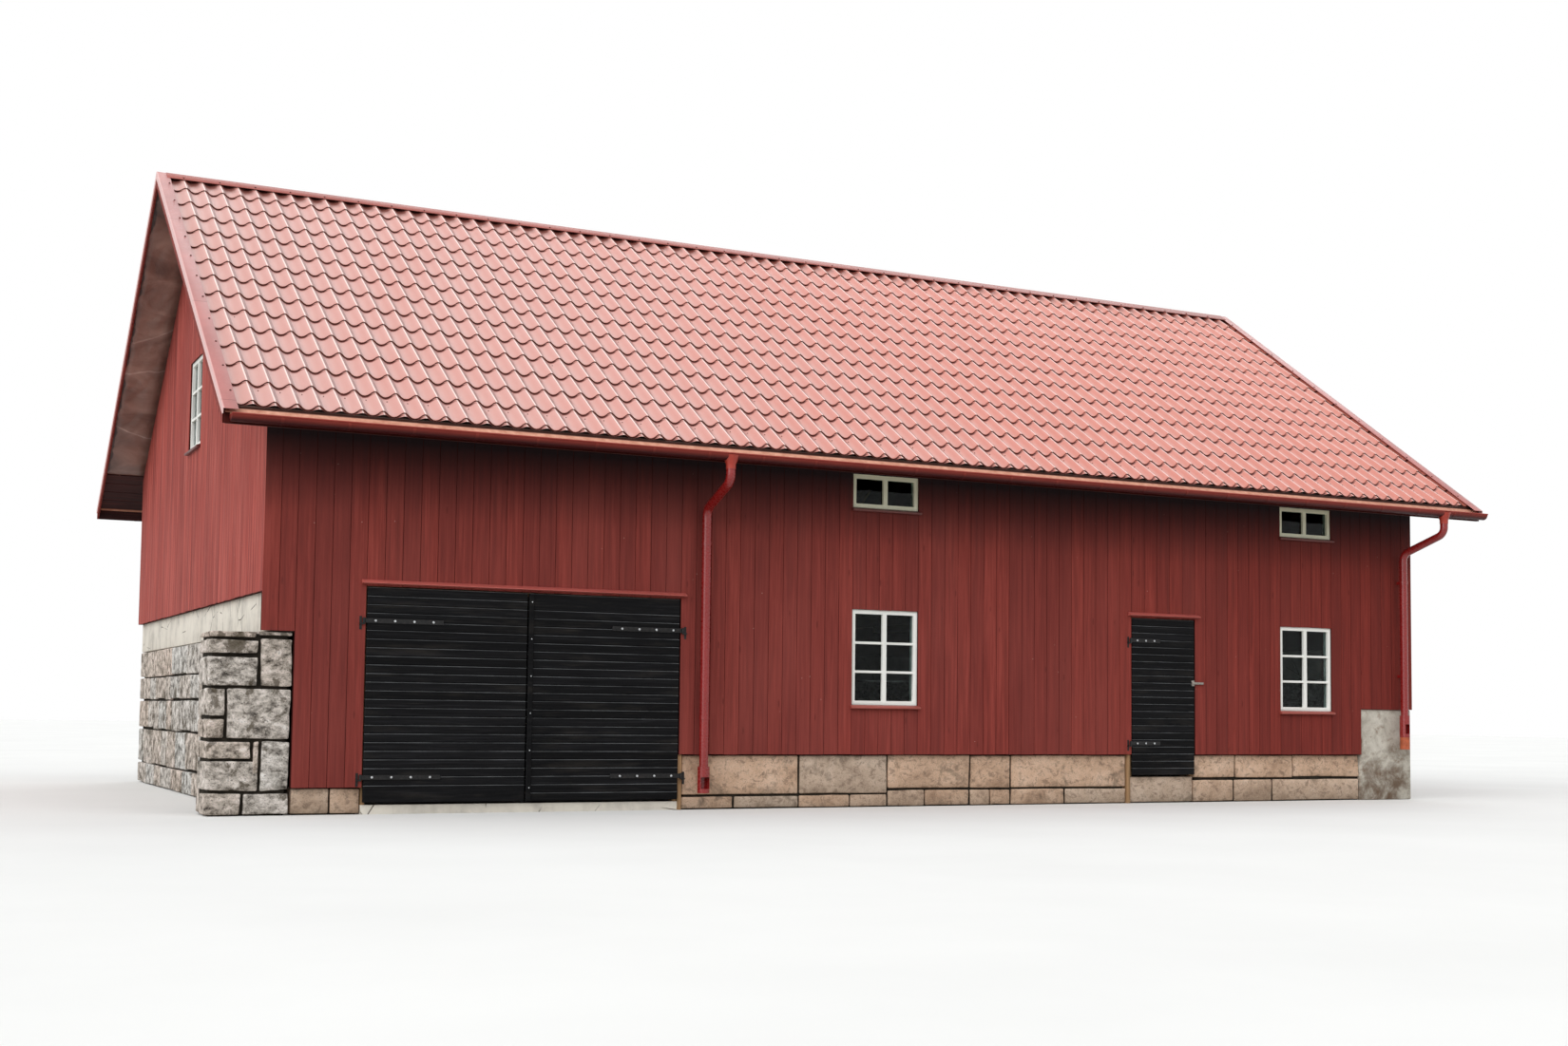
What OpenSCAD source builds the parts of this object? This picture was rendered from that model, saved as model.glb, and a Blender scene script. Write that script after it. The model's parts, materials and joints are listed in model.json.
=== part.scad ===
/* [House] */
// Length of the house over its boarding
wall_l = 13210; // [12600:10:14500]
// Depth of the house over its boarding
wall_w = 7770; // [7400:10:8200]
// Thickness of the timber walls
wall_t = 160; // [140:5:190]
// Height of the front boarding's lower edge above the lowest ground
board_base = 520; // [480:5:600]
// Height of the ridge above the lowest ground, on the crests of the roof sheets
ridge_h = 6490; // [6400:10:6700]
// Slope of the roof in degrees
pitch = 35; // [33:0.5:36]

/* [Masonry] */
// Height at which the left gable's boarding starts
left_board_base = 1914; // [1800:2:2000]
// Height at which the right gable's boarding starts
right_board_base = 1750; // [1700:2:1900]
// Thickness of the stone walls under the gables and the back
stone_t = 520; // [450:5:600]
// Thickness of the stone plinth under the front wall
plinth_t = 300; // [250:5:350]
// Distance that the masonry stands back behind the boarding
stone_back = 30; // [20:1:60]
// Height of the cast concrete band on top of the gable and back stones
band_h = 340; // [250:5:400]
// Distance that the band stands back behind the stones
band_back = 15; // [5:1:40]
// Length of the corner stones beyond the left gable
wing_l = 430; // [300:5:440]
// Depth of the corner stones from the front
wing_w = 520; // [400:5:700]
// Distance that the corner stones stand back behind the boarding
wing_back = 4; // [2:1:20]
// Length of the corner stones along the front wall
corner_l = 282; // [250:2:320]
// Length of the concrete corner block along the front wall
block_l = 790; // [600:5:900]
// Height of the concrete corner block
block_h = 1040; // [900:5:1100]
// Distance that the concrete corner block stands back behind the boarding
block_back = 12; // [6:1:25]
// Height of the front boarding's lower edge beside the big door
low_board_base = 234; // [200:2:300]

/* [Floors] */
// Thickness of the floor slab on the ground
slab_t = 80; // [60:5:90]
// Height of the loft floor's upper face
loft_h = 2320; // [2290:5:2400]
// Thickness of the loft boards
loft_t = 35; // [25:1:45]
// Height of the beams under the loft boards
beam_h = 175; // [150:5:190]
// Width of the beams under the loft boards
beam_w = 150; // [120:5:180]
// Number of beams under the loft boards
beam_n = 12; // [9:1:14]
// Distance of the outermost beams from the gable walls
beam_end = 500; // [300:10:700]

/* [Roof] */
// Overhang of the roof past the left gable
over_left = 470; // [450:5:600]
// Overhang of the roof past the right gable
over_right = 540; // [450:5:600]
// Distance of the gutters' middle from the front and back walls
gutter_out = 605; // [595:5:675]
// Distance that the roof sheets end before the gutters' middle
sheet_in = 136; // [110:1:150]
// Width of one wave of the roof sheets
wave_w = 183.3; // [170:0.1:200]
// Height of the waves of the roof sheets
wave_h = 38; // [26:1:44]
// Thickness of the roof sheets
sheet_t = 3; // [2:0.5:4]
// Distance of the first wave's crest from the left corner of the house
wave_phase = -207.5; // [-220:0.5:-100]
// Gap between the upper end of a roof sheet and the ridge line
ridge_gap = 30; // [26:1:50]
// Thickness of the roofing membrane
membrane_t = 3; // [2:0.5:5]
// Depth of the rafters
rafter_h = 145; // [120:5:170]
// Thickness of the rafters
rafter_w = 45; // [35:1:60]
// Number of rafter pairs
rafter_n = 13; // [10:1:15]
// Depth of the rafter tails at the fascia
tail_h = 75; // [60:1:90]
// Thickness of the eaves boards
eave_t = 20; // [15:1:28]
// Thickness of the fascia and barge boards
trim_t = 22; // [18:1:30]
// Height of the fascia boards
fascia_h = 98; // [80:1:130]
// Depth of the barge boards
barge_h = 125; // [100:1:150]
// Width of the verge flashing on the roof
verge_w = 125; // [100:1:160]
// Depth of the verge flashing over the barge board
verge_h = 62; // [54:1:80]
// Distance that the verge flashings end before the gutters' middle
verge_in = 12; // [0:1:24]
// Thickness of the folded sheet metal trims
trim_sheet = 3; // [2:0.5:4]
// Width of one wing of the ridge cap
cap_w = 135; // [100:1:170]
// Distance of the ridge cap's ends from the ends of the roof
cap_in = 95; // [60:1:120]
// Width of the drip edge on the roof, from the fascia board upwards
lap_w = 90; // [60:5:120]
// Distance that the drip edge hangs past the fascia board
drip_past = 14; // [10:1:20]
// Depth to which the drip edge reaches below the gutter's rim
drip_dip = 12; // [6:1:20]

/* [Gutters] */
// Diameter of the gutter
gutter_d = 125; // [110:1:130]
// Thickness of the gutter
gutter_t = 3; // [2:0.5:4]
// Radius of the bead along the gutter's outer rim
bead_r = 8; // [5:0.5:10]
// Distance of the gutter's rim below the ends of the roof sheets
gutter_drop = 80; // [70:1:95]
// Distance of the gutters' left ends from the end of the roof
gutter_in = 60; // [20:1:90]
// Distance that the outlets end short of the gutter's rim
rim_gap = 12; // [8:1:16]
// Gap between the gutter and the fascia board
gutter_gap = 3.5; // [3:0.5:8]
// Distance between two gutter hooks
hook_step = 551.5; // [450:0.5:700]
// Width of a gutter hook
hook_w = 25; // [20:1:35]
// Thickness of a gutter hook
hook_t = 3; // [2:0.5:4]
// Height of a gutter hook's plate on the fascia board
hook_h = 60; // [40:1:80]
// Distance of a hook's front end below the gutter's rim
hook_lip = 8; // [4:1:12]
// Distance of the left gutter outlet from the left corner
outlet_left = 4100; // [4080:5:4200]
// Distance of the right gutter outlet from the right corner
outlet_right = 90; // [60:5:200]
// Upper radius of a gutter outlet
outlet_r = 80; // [72:1:86]
// Height of the conical part of a gutter outlet
outlet_h = 100; // [85:1:120]
// Length of an outlet's sleeve around its downpipe
sleeve_l = 40; // [30:1:55]
// Diameter of the downpipes
pipe_d = 87; // [75:1:90]
// Thickness of the downpipes
pipe_t = 3; // [2:0.5:4]
// Distance of the downpipe's middle from the wall
pipe_off = 85; // [75:1:110]
// Length of the spout between the outlet and the upper bend
spout_l = 80; // [60:1:120]
// Radius of the bends
bend_r = 110; // [90:1:130]
// Gap where the sloping length of a downpipe butts against its bends
butt_gap = 0.3; // [0.2:0.05:0.6]
// Angle of the bends
bend_a = 68; // [60:1:72]
// Sideways turn of the right downpipe's upper part in degrees
right_turn = 14; // [0:1:20]
// Height of the left pipe shoe's lower end
shoe_z_left = 160; // [120:5:250]
// Height of the right pipe shoe's lower end
shoe_z_right = 722; // [650:2:800]
// Length of a pipe shoe
shoe_l = 250; // [200:5:300]
// Radius of a pipe shoe
shoe_r = 58; // [52:1:64]
// Depth to which a downpipe stands in its shoe
socket_l = 60; // [40:1:80]
// Height of a shoe's mouth above its lower end
mouth_z = 40; // [20:1:60]
// Height of a shoe's mouth
mouth_h = 110; // [90:1:125]
// Height of the clay coloured drain collar
collar_h = 140; // [100:5:160]
// Radius of the drain collar
collar_r = 55; // [50:1:60]
// Thickness of the drain collar
collar_t = 5; // [3:0.5:8]
// Height of the upper pipe clamps
clamp_top = 2500; // [2400:10:2600]
// Height of the lower pipe clamps above the shoe's upper end
clamp_low = 440; // [350:10:500]
// Height of a pipe clamp
clamp_h = 32; // [24:1:40]
// Thickness of a pipe clamp
clamp_t = 3; // [2:0.5:5]
// Width of a pipe clamp's arm to the wall
arm_w = 20; // [14:1:30]

/* [Windows] */
// Width of the windows
win_w = 755; // [700:5:800]
// Height of the lower windows and of the gable windows
win_h = 947; // [880:1:980]
// Height of the upper windows
small_win_h = 336; // [300:2:360]
// Distance of the left windows from the left corner
win_left = 5730; // [5600:5:6000]
// Distance of the right windows from the right corner
win_right = 1233; // [1100:1:1400]
// Height of the lower windows' lower edge
win_z = 1010; // [960:5:1040]
// Distance of the upper windows' upper edge below the top of the front wall
small_win_drop = 405; // [390:1:600]
// Distance of the gable windows' upper edge below the ridge
gable_win_drop = 1923; // [1700:1:2100]
// Width of the window frame's members
frame_w = 42; // [35:1:55]
// Width of the middle post of a window
mullion_w = 46; // [35:1:60]
// Width of the thin glazing bars
bar_w = 24; // [18:1:32]
// Depth of the window frames
frame_t = 70; // [60:1:90]
// Distance that the windows stand back behind the boarding
frame_back = 14; // [5:1:25]
// Depth of the middle post of a window
bar_t = 30; // [20:1:40]
// Distance that the thin bars stand back behind the middle post
bar_back = 4; // [2:0.5:8]
// Thickness of the glass
glass_t = 4; // [3:1:6]
// Height of the window sills
sill_h = 38; // [30:1:50]
// Distance that a sill stands out past the boarding
sill_out = 45; // [30:1:60]
// Length of a sill past each side of its window
sill_side = 18; // [10:1:40]
// Width of the slanted edge under a sill's nose
sill_nose = 8; // [4:1:12]

/* [Doors] */
// Distance of the big doorway from the left corner
big_x = 890; // [850:5:950]
// Width of the big doorway
big_w = 2990; // [2900:5:3040]
// Width of the big door's left leaf
big_left_w = 1468; // [1400:2:1500]
// Distance of the small doorway from the right corner
small_right = 3202; // [3000:2:3400]
// Width of the small doorway
small_w = 858; // [820:2:900]
// Height of both doorways' upper edge
door_top = 1990; // [1960:2:2000]
// Height of the big door's lower edge
big_z = 100; // [92:1:120]
// Height of the small door's lower edge
small_z = 300; // [280:2:320]
// Thickness of the door boards
leaf_t = 28; // [22:1:35]
// Thickness of the ledges on the inner face of the doors
ledge_t = 25; // [20:1:30]
// Width of the ledges
ledge_w = 120; // [90:1:150]
// Distance of the ledges from the edges of their door
ledge_in = 60; // [45:1:90]
// Distance that the doors stand out past the boarding
leaf_out = 6; // [5:0.5:12]
// Gap between a door and the sides of its doorway
leaf_gap = 9; // [8:0.5:12]
// Gap between the two leaves of the big door
leaf_meet = 9; // [8:0.5:12]
// Gap between a door and the head of its doorway
leaf_top_gap = 9; // [6:0.5:12]
// Width of the cover strip on the big door's right leaf
strip_w = 45; // [35:1:60]
// Thickness of the cover strip
strip_t = 20; // [14:1:24]
// Width of the door frames behind the doors
jamb_w = 40; // [35:1:60]
// Gap between a closed door and its frame
jamb_gap = 6; // [5:0.5:8]
// Distance that the feet of the door frames stand back behind the boarding
foot_back = 20; // [12:1:40]
// Distance of the drip flashings above their doorways
drip_lift = 15; // [10:1:25]
// Rise of a drip flashing's edge above its lower side
drip_rise = 7; // [3:1:12]
// Height of a drip flashing's front edge
drip_nose = 6; // [4:1:12]
// Height of the drip flashings above the doors
drip_h = 40; // [30:1:60]
// Distance that a drip flashing stands out past the boarding
drip_out = 55; // [45:1:80]
// Length of a drip flashing past each side of its doorway
drip_side = 45; // [30:1:80]
// Gap between the small door and the stone step under it
step_gap = 12; // [8:1:20]

/* [Ironwork] */
// Length of the big door's hinge straps
big_strap_l = 712; // [600:2:800]
// Length of the small door's hinge straps
small_strap_l = 395; // [350:5:500]
// Height of a hinge strap
strap_h = 42; // [36:1:50]
// Thickness of a hinge strap
iron_t = 8; // [6:0.5:10]
// Distance from the hinge pin to the edge of its door
pin_side = 28; // [26:1:34]
// Length of a hinge lug from the pin to the far edge of its wall plate
lug_l = 38; // [32:1:44]
// Height of a hinge lug
lug_h = 12; // [8:1:16]
// Width of a hinge's wall plate
plate_w = 22; // [18:1:26]
// Thickness of a hinge's wall plate
plate_t = 5; // [3:0.5:6]
// Height of a hinge's wall plate
plate_h = 117; // [90:1:140]
// Height of a pin's end above its knuckle
pin_end = 6; // [3:0.5:10]
// Radius of the hinge pins
pin_r = 8; // [6:0.5:9]
// Radius of the hinge knuckles
knuckle_r = 12; // [11:0.5:13]
// Running gap between a pin and its knuckle
pin_gap = 0.3; // [0.2:0.05:0.5]
// Height of the big door's upper hinges
big_hinge_top = 1665; // [1500:5:1750]
// Height of the big door's lower hinges
big_hinge_low = 300; // [280:5:500]
// Height of the small door's upper hinge
small_hinge_top = 1722; // [1600:2:1800]
// Height of the small door's lower hinge
small_hinge_low = 618; // [500:2:800]
// Height of the latch tongue
latch_z = 1295; // [1100:5:1500]
// Length of the latch tongue past the door's edge
latch_l = 112; // [100:2:140]
// Height of the latch tongue's plate
latch_h = 60; // [48:1:80]
// Width of the latch tongue's plate
latch_w = 40; // [30:1:60]
// Height of the latch tongue's bar
bolt_h = 24; // [18:1:32]

/* [Hidden] */
tan_p = tan(pitch);
cos_p = cos(pitch);
half_w = wall_w / 2;
gutter_u = half_w + gutter_out;
sheet_u = gutter_u - sheet_in;
seat = 0.1;
cut = 1;
house_x = -(wall_l + over_left + over_right) / 2 + over_left;
roof_x0 = -over_left;
roof_x1 = wall_l + over_right;
sheet_d = wave_h + sheet_t;
membrane_d = sheet_d + membrane_t;
board_d = membrane_d + eave_t;
gutter_r = gutter_d / 2;
gutter_z = roof_z(sheet_u, sheet_d) - gutter_drop;
gutter_y = half_w - gutter_u;
fascia_u = gutter_u - gutter_r - gutter_gap;
tail_u = fascia_u - trim_t;
verge_u = gutter_u - verge_in;
hook_top = roof_z(fascia_u + gutter_gap, membrane_d) - gutter_z - butt_gap;
rafter_step = (wall_l - 2 * wall_t - rafter_w) / (rafter_n - 1);
small_win_z = roof_z(half_w, membrane_d) - small_win_drop - small_win_h;
gable_win_z = ridge_h - gable_win_drop - win_h;
beam_step = (wall_l - 2 * (wall_t + beam_end) - beam_w) / (beam_n - 1);
pipe_r = pipe_d / 2;
pipe_run = -gutter_y - pipe_off;
diagonal_l = (pipe_run - 2 * bend_r * (1 - cos(bend_a))) / sin(bend_a);
spout_z = gutter_z - outlet_h;
bend_z = spout_z - spout_l;
lower_z = bend_z - 2 * bend_r * sin(bend_a) - diagonal_l * cos(bend_a);
big_right_w = big_w - big_left_w - leaf_meet - 2 * leaf_gap;
leaf_back = -leaf_out + leaf_t + ledge_t;
frame_y = leaf_back + jamb_gap;
pin_y = -leaf_out - knuckle_r;
leaf_top = door_top - leaf_top_gap;
outlet_right_x = wall_l - outlet_right;
right_pipe_x = outlet_right_x - pipe_run * sin(right_turn);
right_pipe_y = gutter_y + pipe_run * cos(right_turn);
win_right_x = wall_l - win_right - win_w;
small_x = wall_l - small_right - small_w;
wing_h = left_board_base - band_h;
roof_end0 = roof_x0 + trim_sheet + trim_t;
roof_end1 = roof_x1 - trim_sheet - trim_t;
$fn = 48;

// Height of a roof layer at the level distance u from the ridge, d below the crests
function roof_z(u, d = 0) = ridge_h - u * tan_p - d / cos_p;

// Height of the roof sheet's upper face above its pans' lower face, along the wave
function wave(x) = wave_h * pow((1 + cos(360 * (x - wave_phase) / wave_w)) / 2, 1.4);

// Moves the house's front left corner from the origin to its place
module house() translate([house_x, -half_w, 0]) children();

// Mirrors a piece of the front to the back of the house
module to_back() translate([0, wall_w, 0]) mirror([0, 1, 0]) children();

// Draws a piece at the front and once more at the back
module front_and_back() {
    children();
    to_back() children();
}

// Extrudes an outline of depth and height along the house's length
module along(x0, x1) translate([x0, 0, 0]) rotate([90, 0, 90]) linear_extrude(x1 - x0) children();

// A layer of the front roof slope with plumb ends
module layer(u0, u1, d0, d1, x0, x1)
    along(x0, x1) polygon([[half_w - u0, roof_z(u0, d0)], [half_w - u1, roof_z(u1, d0)],
        [half_w - u1, roof_z(u1, d1)], [half_w - u0, roof_z(u0, d1)]]);

// One rafter with its stepped tail
module rafter_outline()
    polygon([[half_w, roof_z(0, membrane_d)], [0, roof_z(half_w, membrane_d)],
        [0, roof_z(half_w, board_d)], [half_w - tail_u, roof_z(tail_u, board_d)],
        [half_w - tail_u, roof_z(tail_u, board_d) - tail_h],
        [0, roof_z(half_w, membrane_d + rafter_h)], [half_w, roof_z(0, membrane_d + rafter_h)]]);

module rafter_pair(x) along(x, x + rafter_w) {
    rafter_outline();
    translate([wall_w, 0]) mirror([1, 0]) rafter_outline();
}

// The notch for a rafter in the top of the front wall, open upwards
module rafter_notch() {
    low = membrane_d + rafter_h + seat;
    polygon([[-cut, roof_z(half_w + cut, low)], [wall_t + cut, roof_z(half_w - wall_t - cut, low)],
        [wall_t + cut, ridge_h], [-cut, ridge_h]]);
}

// The front wall's body from one height at the foot up to the roof
module wall_slab(x0, x1, z0) difference() {
    along(x0, x1) polygon([[0, z0], [wall_t, z0], [wall_t, roof_z(half_w - wall_t, membrane_d)],
        [0, roof_z(half_w, membrane_d)]]);
    for (i = [0 : rafter_n - 1])
        if (rafter_x(i) < x1 && rafter_x(i) + rafter_w > x0)
            along(rafter_x(i), rafter_x(i) + rafter_w) rafter_notch();
}

function rafter_x(i) = wall_t + i * rafter_step;

module window_hole(x, z, h) translate([x, -cut, z]) cube([win_w, wall_t + 2 * cut, h]);

// A window's frame with its middle post and thin bars
module window(rows, h) {
    inner_w = win_w - 2 * frame_w;
    inner_h = h - 2 * frame_w;
    translate([0, frame_back, 0]) difference() {
        cube([win_w, frame_t, h]);
        translate([frame_w, -cut, frame_w]) cube([inner_w, frame_t + 2 * cut, inner_h]);
    }
    translate([win_w / 2 - mullion_w / 2, frame_back, frame_w]) cube([mullion_w, bar_t, inner_h]);
    if (rows > 1)
        for (i = [1 : rows - 1])
            translate([frame_w, frame_back + bar_back, frame_w + i * inner_h / rows - bar_w / 2])
                cube([inner_w, bar_t - bar_back, bar_w]);
}

module glass(h) translate([frame_w, frame_back + bar_t, frame_w])
    cube([win_w - 2 * frame_w, glass_t, h - 2 * frame_w]);

// A sloping sill under a window
module sill() along(-sill_side, win_w + sill_side)
    polygon([[0, 0], [0, -sill_h], [-sill_out + sill_nose, -sill_h],
        [-sill_out, -sill_h + sill_nose], [-sill_out, -sill_h / 2]]);

// Puts a piece in each of the windows' places, all facing the way of its wall
module front_lower_places()
    for (x = [win_left, win_right_x]) translate([x, 0, win_z]) children();
module front_upper_places()
    for (x = [win_left, win_right_x]) translate([x, 0, small_win_z]) children();
module gable_places() {
    translate([0, half_w + win_w / 2, gable_win_z]) rotate([0, 0, -90]) children();
    translate([wall_l, half_w - win_w / 2, gable_win_z]) rotate([0, 0, 90]) children();
}

// A drip flashing over a doorway
module drip(x0, x1) translate([0, 0, door_top + drip_lift])
    along(x0 - drip_side, x1 + drip_side)
        polygon([[0, 0], [-drip_nose, 0], [-drip_out, drip_rise], [-drip_out, drip_rise + drip_nose],
            [-drip_nose, drip_h], [0, drip_h]]);

// A door's boards with two ledges inside, from its left edge
module leaf(w, z0) {
    translate([0, -leaf_out, z0]) cube([w, leaf_t, leaf_top - z0]);
    for (x = [ledge_in, w - ledge_in - ledge_w])
        translate([x, leaf_t - leaf_out, z0 + ledge_in])
            cube([ledge_w, ledge_t, leaf_top - z0 - 2 * ledge_in]);
}

// A door frame's two posts and head, behind the doors, and a foot under the wall beside it
module door_frame(w, z0, foot_x) {
    depth = wall_t - frame_y;
    for (x = [0, w - jamb_w])
        translate([x, frame_y, z0]) cube([jamb_w, depth, door_top - z0]);
    translate([jamb_w, frame_y, door_top - jamb_w]) cube([w - 2 * jamb_w, depth, jamb_w]);
    translate([foot_x, foot_back, 0]) cube([jamb_w, wall_t - foot_back, board_base]);
}

// A strap with its knuckle at the origin, reaching to the right
module strap(l, z) translate([0, 0, z]) difference() {
    union() {
        cylinder(h = strap_h, r = knuckle_r);
        translate([0, knuckle_r - iron_t, 0]) cube([l, iron_t, strap_h]);
    }
    translate([0, 0, -cut]) cylinder(h = strap_h + 2 * cut, r = pin_r + pin_gap);
}

// A pintle at the origin: pin, lug and wall plate to the left of the pin
module pintle(z) translate([0, 0, z]) {
    translate([0, 0, -pin_gap]) cylinder(h = strap_h + pin_end, r = pin_r);
    translate([-lug_l, -pin_r, -lug_h - pin_gap])
        cube([lug_l + pin_r, -pin_y + pin_r - plate_t, lug_h]);
    translate([-lug_l, -pin_y - plate_t, -plate_h / 2]) cube([plate_w, plate_t, plate_h]);
}

// A round tube of the downpipe's size
module tube(l) linear_extrude(l) ring();

module ring() difference() {
    circle(r = pipe_r);
    circle(r = pipe_r - pipe_t);
}

// A bend of the same tube in the plane of depth and height, from an angle onwards
module bend(start) rotate([90, 0, 90]) rotate([0, 0, start])
    rotate_extrude(angle = bend_a) translate([bend_r, 0]) ring();

// A downpipe from under its outlet down to its shoe: a spout with its bend, a sloping length
// that butts against both bends, and a long upright length with its bend
module pipe(foot) {
    translate([0, -pipe_run, bend_z]) tube(spout_l);
    translate([0, -pipe_run + bend_r, bend_z]) bend(180);
    translate([0, -pipe_run + bend_r * (1 - cos(bend_a)), bend_z - bend_r * sin(bend_a)])
        rotate([bend_a + 180, 0, 0]) translate([0, 0, butt_gap]) tube(diagonal_l - 2 * butt_gap);
    translate([0, -bend_r, lower_z]) bend(0);
    translate([0, 0, foot]) tube(lower_z - foot);
}

// Puts a piece on the left or right downpipe's axis, the right one turned to its outlet
module left_pipe() translate([outlet_left, -pipe_off, 0]) children();
module right_pipe() translate([right_pipe_x, right_pipe_y, 0])
    rotate([0, 0, right_turn]) children();

// A pipe shoe with a mouth cut in its front
module shoe(foot) difference() {
    translate([0, 0, foot]) cylinder(h = shoe_l, r = shoe_r);
    translate([0, 0, foot + shoe_l - socket_l]) cylinder(h = socket_l + cut, r = pipe_r + butt_gap);
    translate([0, 0, foot - cut]) cylinder(h = shoe_l, r = pipe_r - pipe_t);
    translate([-pipe_r, -shoe_r - cut, foot + mouth_z]) cube([2 * pipe_r, shoe_r, mouth_h]);
}

// A clamp around a downpipe with an arm to the wall
module clamp(z, arm) translate([0, 0, z]) difference() {
    union() {
        cylinder(h = clamp_h, r = pipe_r + butt_gap + clamp_t);
        translate([-arm_w / 2, 0, 0]) cube([arm_w, arm, clamp_h]);
    }
    translate([0, 0, -cut]) cylinder(h = clamp_h + 2 * cut, r = pipe_r + butt_gap);
}

module plinth_front() color("rosybrown") house() {
    translate([corner_l, stone_back, 0]) cube([big_x - corner_l, plinth_t, low_board_base]);
    translate([big_x + big_w + jamb_w, stone_back, 0])
        cube([small_x - big_x - big_w - 2 * jamb_w, plinth_t, board_base]);
    translate([small_x + small_w, stone_back, 0])
        cube([small_right - block_l, plinth_t, board_base]);
}

module foundation_left() color("darkgray") house() difference() {
    union() {
        translate([stone_back, stone_back, 0]) cube([stone_t, wall_w - 2 * stone_back, wing_h]);
        translate([-wing_l, wing_back, 0]) cube([wing_l + corner_l, wing_w, wing_h]);
    }
    translate([corner_l, -cut, -cut])
        cube([stone_t, stone_back + plinth_t + cut, wing_h + 2 * cut]);
}

module foundation_right() color("darkgray") house() {
    translate([wall_l - stone_back - stone_t, stone_back + plinth_t, 0])
        cube([stone_t, wall_w - 2 * stone_back - plinth_t, right_board_base - band_h]);
    translate([wall_l - stone_back - stone_t, wall_t, block_h])
        cube([stone_t, plinth_t + stone_back - wall_t + cut, right_board_base - band_h - block_h]);
}

module foundation_back() color("darkgray") house()
    translate([stone_back + stone_t, wall_w - stone_back - stone_t, 0])
        cube([wall_l - 2 * stone_back - 2 * stone_t, stone_t, right_board_base - band_h]);

module corner_block() color("lightgray") house()
    translate([wall_l - block_l, block_back, 0])
        cube([block_l - block_back, plinth_t + stone_back - block_back, block_h]);

module concrete_band() color("beige") house() {
    inset = stone_back + band_back;
    t = stone_t - 2 * band_back;
    translate([inset, inset, wing_h]) cube([t, wall_w - 2 * inset, band_h]);
    translate([wall_l - inset - t, wall_t, right_board_base - band_h])
        cube([t, wall_w - inset - wall_t, band_h]);
    difference() {
        translate([inset + t, wall_w - inset - t, right_board_base - band_h])
            cube([wall_l - 2 * inset - 2 * t, t, band_h]);
        translate([0, 0, -cut]) cube([stone_back + stone_t, wall_w, wing_h + cut]);
    }
}

module door_step() color("gray") house()
    translate([small_x, stone_back, 0]) cube([small_w, plinth_t, small_z - step_gap]);

// The slab inside the masonry, with a tongue into the big doorway
module ground_floor() color("dimgray") house() {
    x = stone_back + stone_t;
    y = stone_back + plinth_t;
    translate([x, y, 0]) cube([wall_l - 2 * x, wall_w - x - y, slab_t]);
    translate([big_x, stone_back, 0]) cube([big_w, plinth_t + cut, slab_t]);
}

module loft_floor() color("burlywood") house()
    translate([wall_t, wall_t, loft_h - loft_t])
        cube([wall_l - 2 * wall_t, wall_w - 2 * wall_t, loft_t]);

module floor_beams() color("sienna") house() for (i = [0 : beam_n - 1])
    translate([wall_t + beam_end + i * beam_step, wall_t, loft_h - loft_t - beam_h])
        cube([beam_w, wall_w - 2 * wall_t, beam_h]);

module front_wall_left() color("firebrick") house() difference() {
    wall_slab(0, big_x, low_board_base);
    translate([-cut, -cut, low_board_base - cut])
        cube([corner_l + cut, wall_t + 2 * cut, wing_h - low_board_base + cut]);
    translate([-cut, stone_back + band_back, 0])
        cube([stone_back + stone_t + cut, wall_t, left_board_base]);
}

module front_wall_over_doors() color("firebrick") house() {
    wall_slab(big_x, big_x + big_w, door_top);
    wall_slab(small_x, small_x + small_w, door_top);
}

module front_wall_middle() color("firebrick") house() difference() {
    wall_slab(big_x + big_w, small_x, board_base);
    window_hole(win_left, win_z, win_h);
    window_hole(win_left, small_win_z, small_win_h);
}

module front_wall_right() color("firebrick") house() difference() {
    wall_slab(small_x + small_w, wall_l, board_base);
    window_hole(win_right_x, win_z, win_h);
    window_hole(win_right_x, small_win_z, small_win_h);
    translate([wall_l - block_l, -cut, 0]) cube([block_l + cut, wall_t + 2 * cut, block_h]);
}

// A gable wall between the long walls, up to the roof
module gable(x, base) difference() {
    along(x, x + wall_t) polygon([[wall_t, base], [wall_w - wall_t, base],
        [wall_w - wall_t, roof_z(half_w - wall_t, membrane_d)], [half_w, roof_z(0, membrane_d)],
        [wall_t, roof_z(half_w - wall_t, membrane_d)]]);
    translate([x - cut, half_w - win_w / 2, gable_win_z]) cube([wall_t + 2 * cut, win_w, win_h]);
}

module left_gable_wall() color("brown") house() gable(0, left_board_base);

module right_gable_wall() color("brown") house() gable(wall_l - wall_t, right_board_base);

module back_wall() color("brown") house() difference() {
    to_back() wall_slab(0, wall_l, right_board_base);
    translate([-cut, wall_w - wall_t - cut, 0])
        cube([stone_back + stone_t + cut, wall_t + 2 * cut, left_board_base]);
    for (x = [win_left, win_right_x]) to_back() window_hole(x, small_win_z, small_win_h);
}

module rafters() color("peru") house() for (i = [0 : rafter_n - 1]) rafter_pair(rafter_x(i));

module roof_membrane() color("rosybrown") house() front_and_back()
    layer(0, fascia_u - lap_w, sheet_d + seat, membrane_d - seat, roof_end0, roof_end1);

// A roof sheet: its wave along the house, drawn out down the slope
module roof_sheet() {
    step = wave_w / 6;
    first = ceil((roof_end0 + cut - wave_phase) / step);
    last = floor((roof_end1 - cut - wave_phase) / step);
    xs = concat([roof_end0], [for (i = [first : last]) wave_phase + i * step], [roof_end1]);
    translate([0, half_w, ridge_h]) rotate([pitch, 0, 0]) translate([0, -ridge_gap, -sheet_d])
        rotate([90, 0, 0]) linear_extrude(sheet_u / cos_p - ridge_gap)
            polygon(concat([for (x = xs) [x, wave(x) + sheet_t]],
                [for (i = [len(xs) - 1 : -1 : 0]) [xs[i], wave(xs[i])]]));
}

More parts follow.
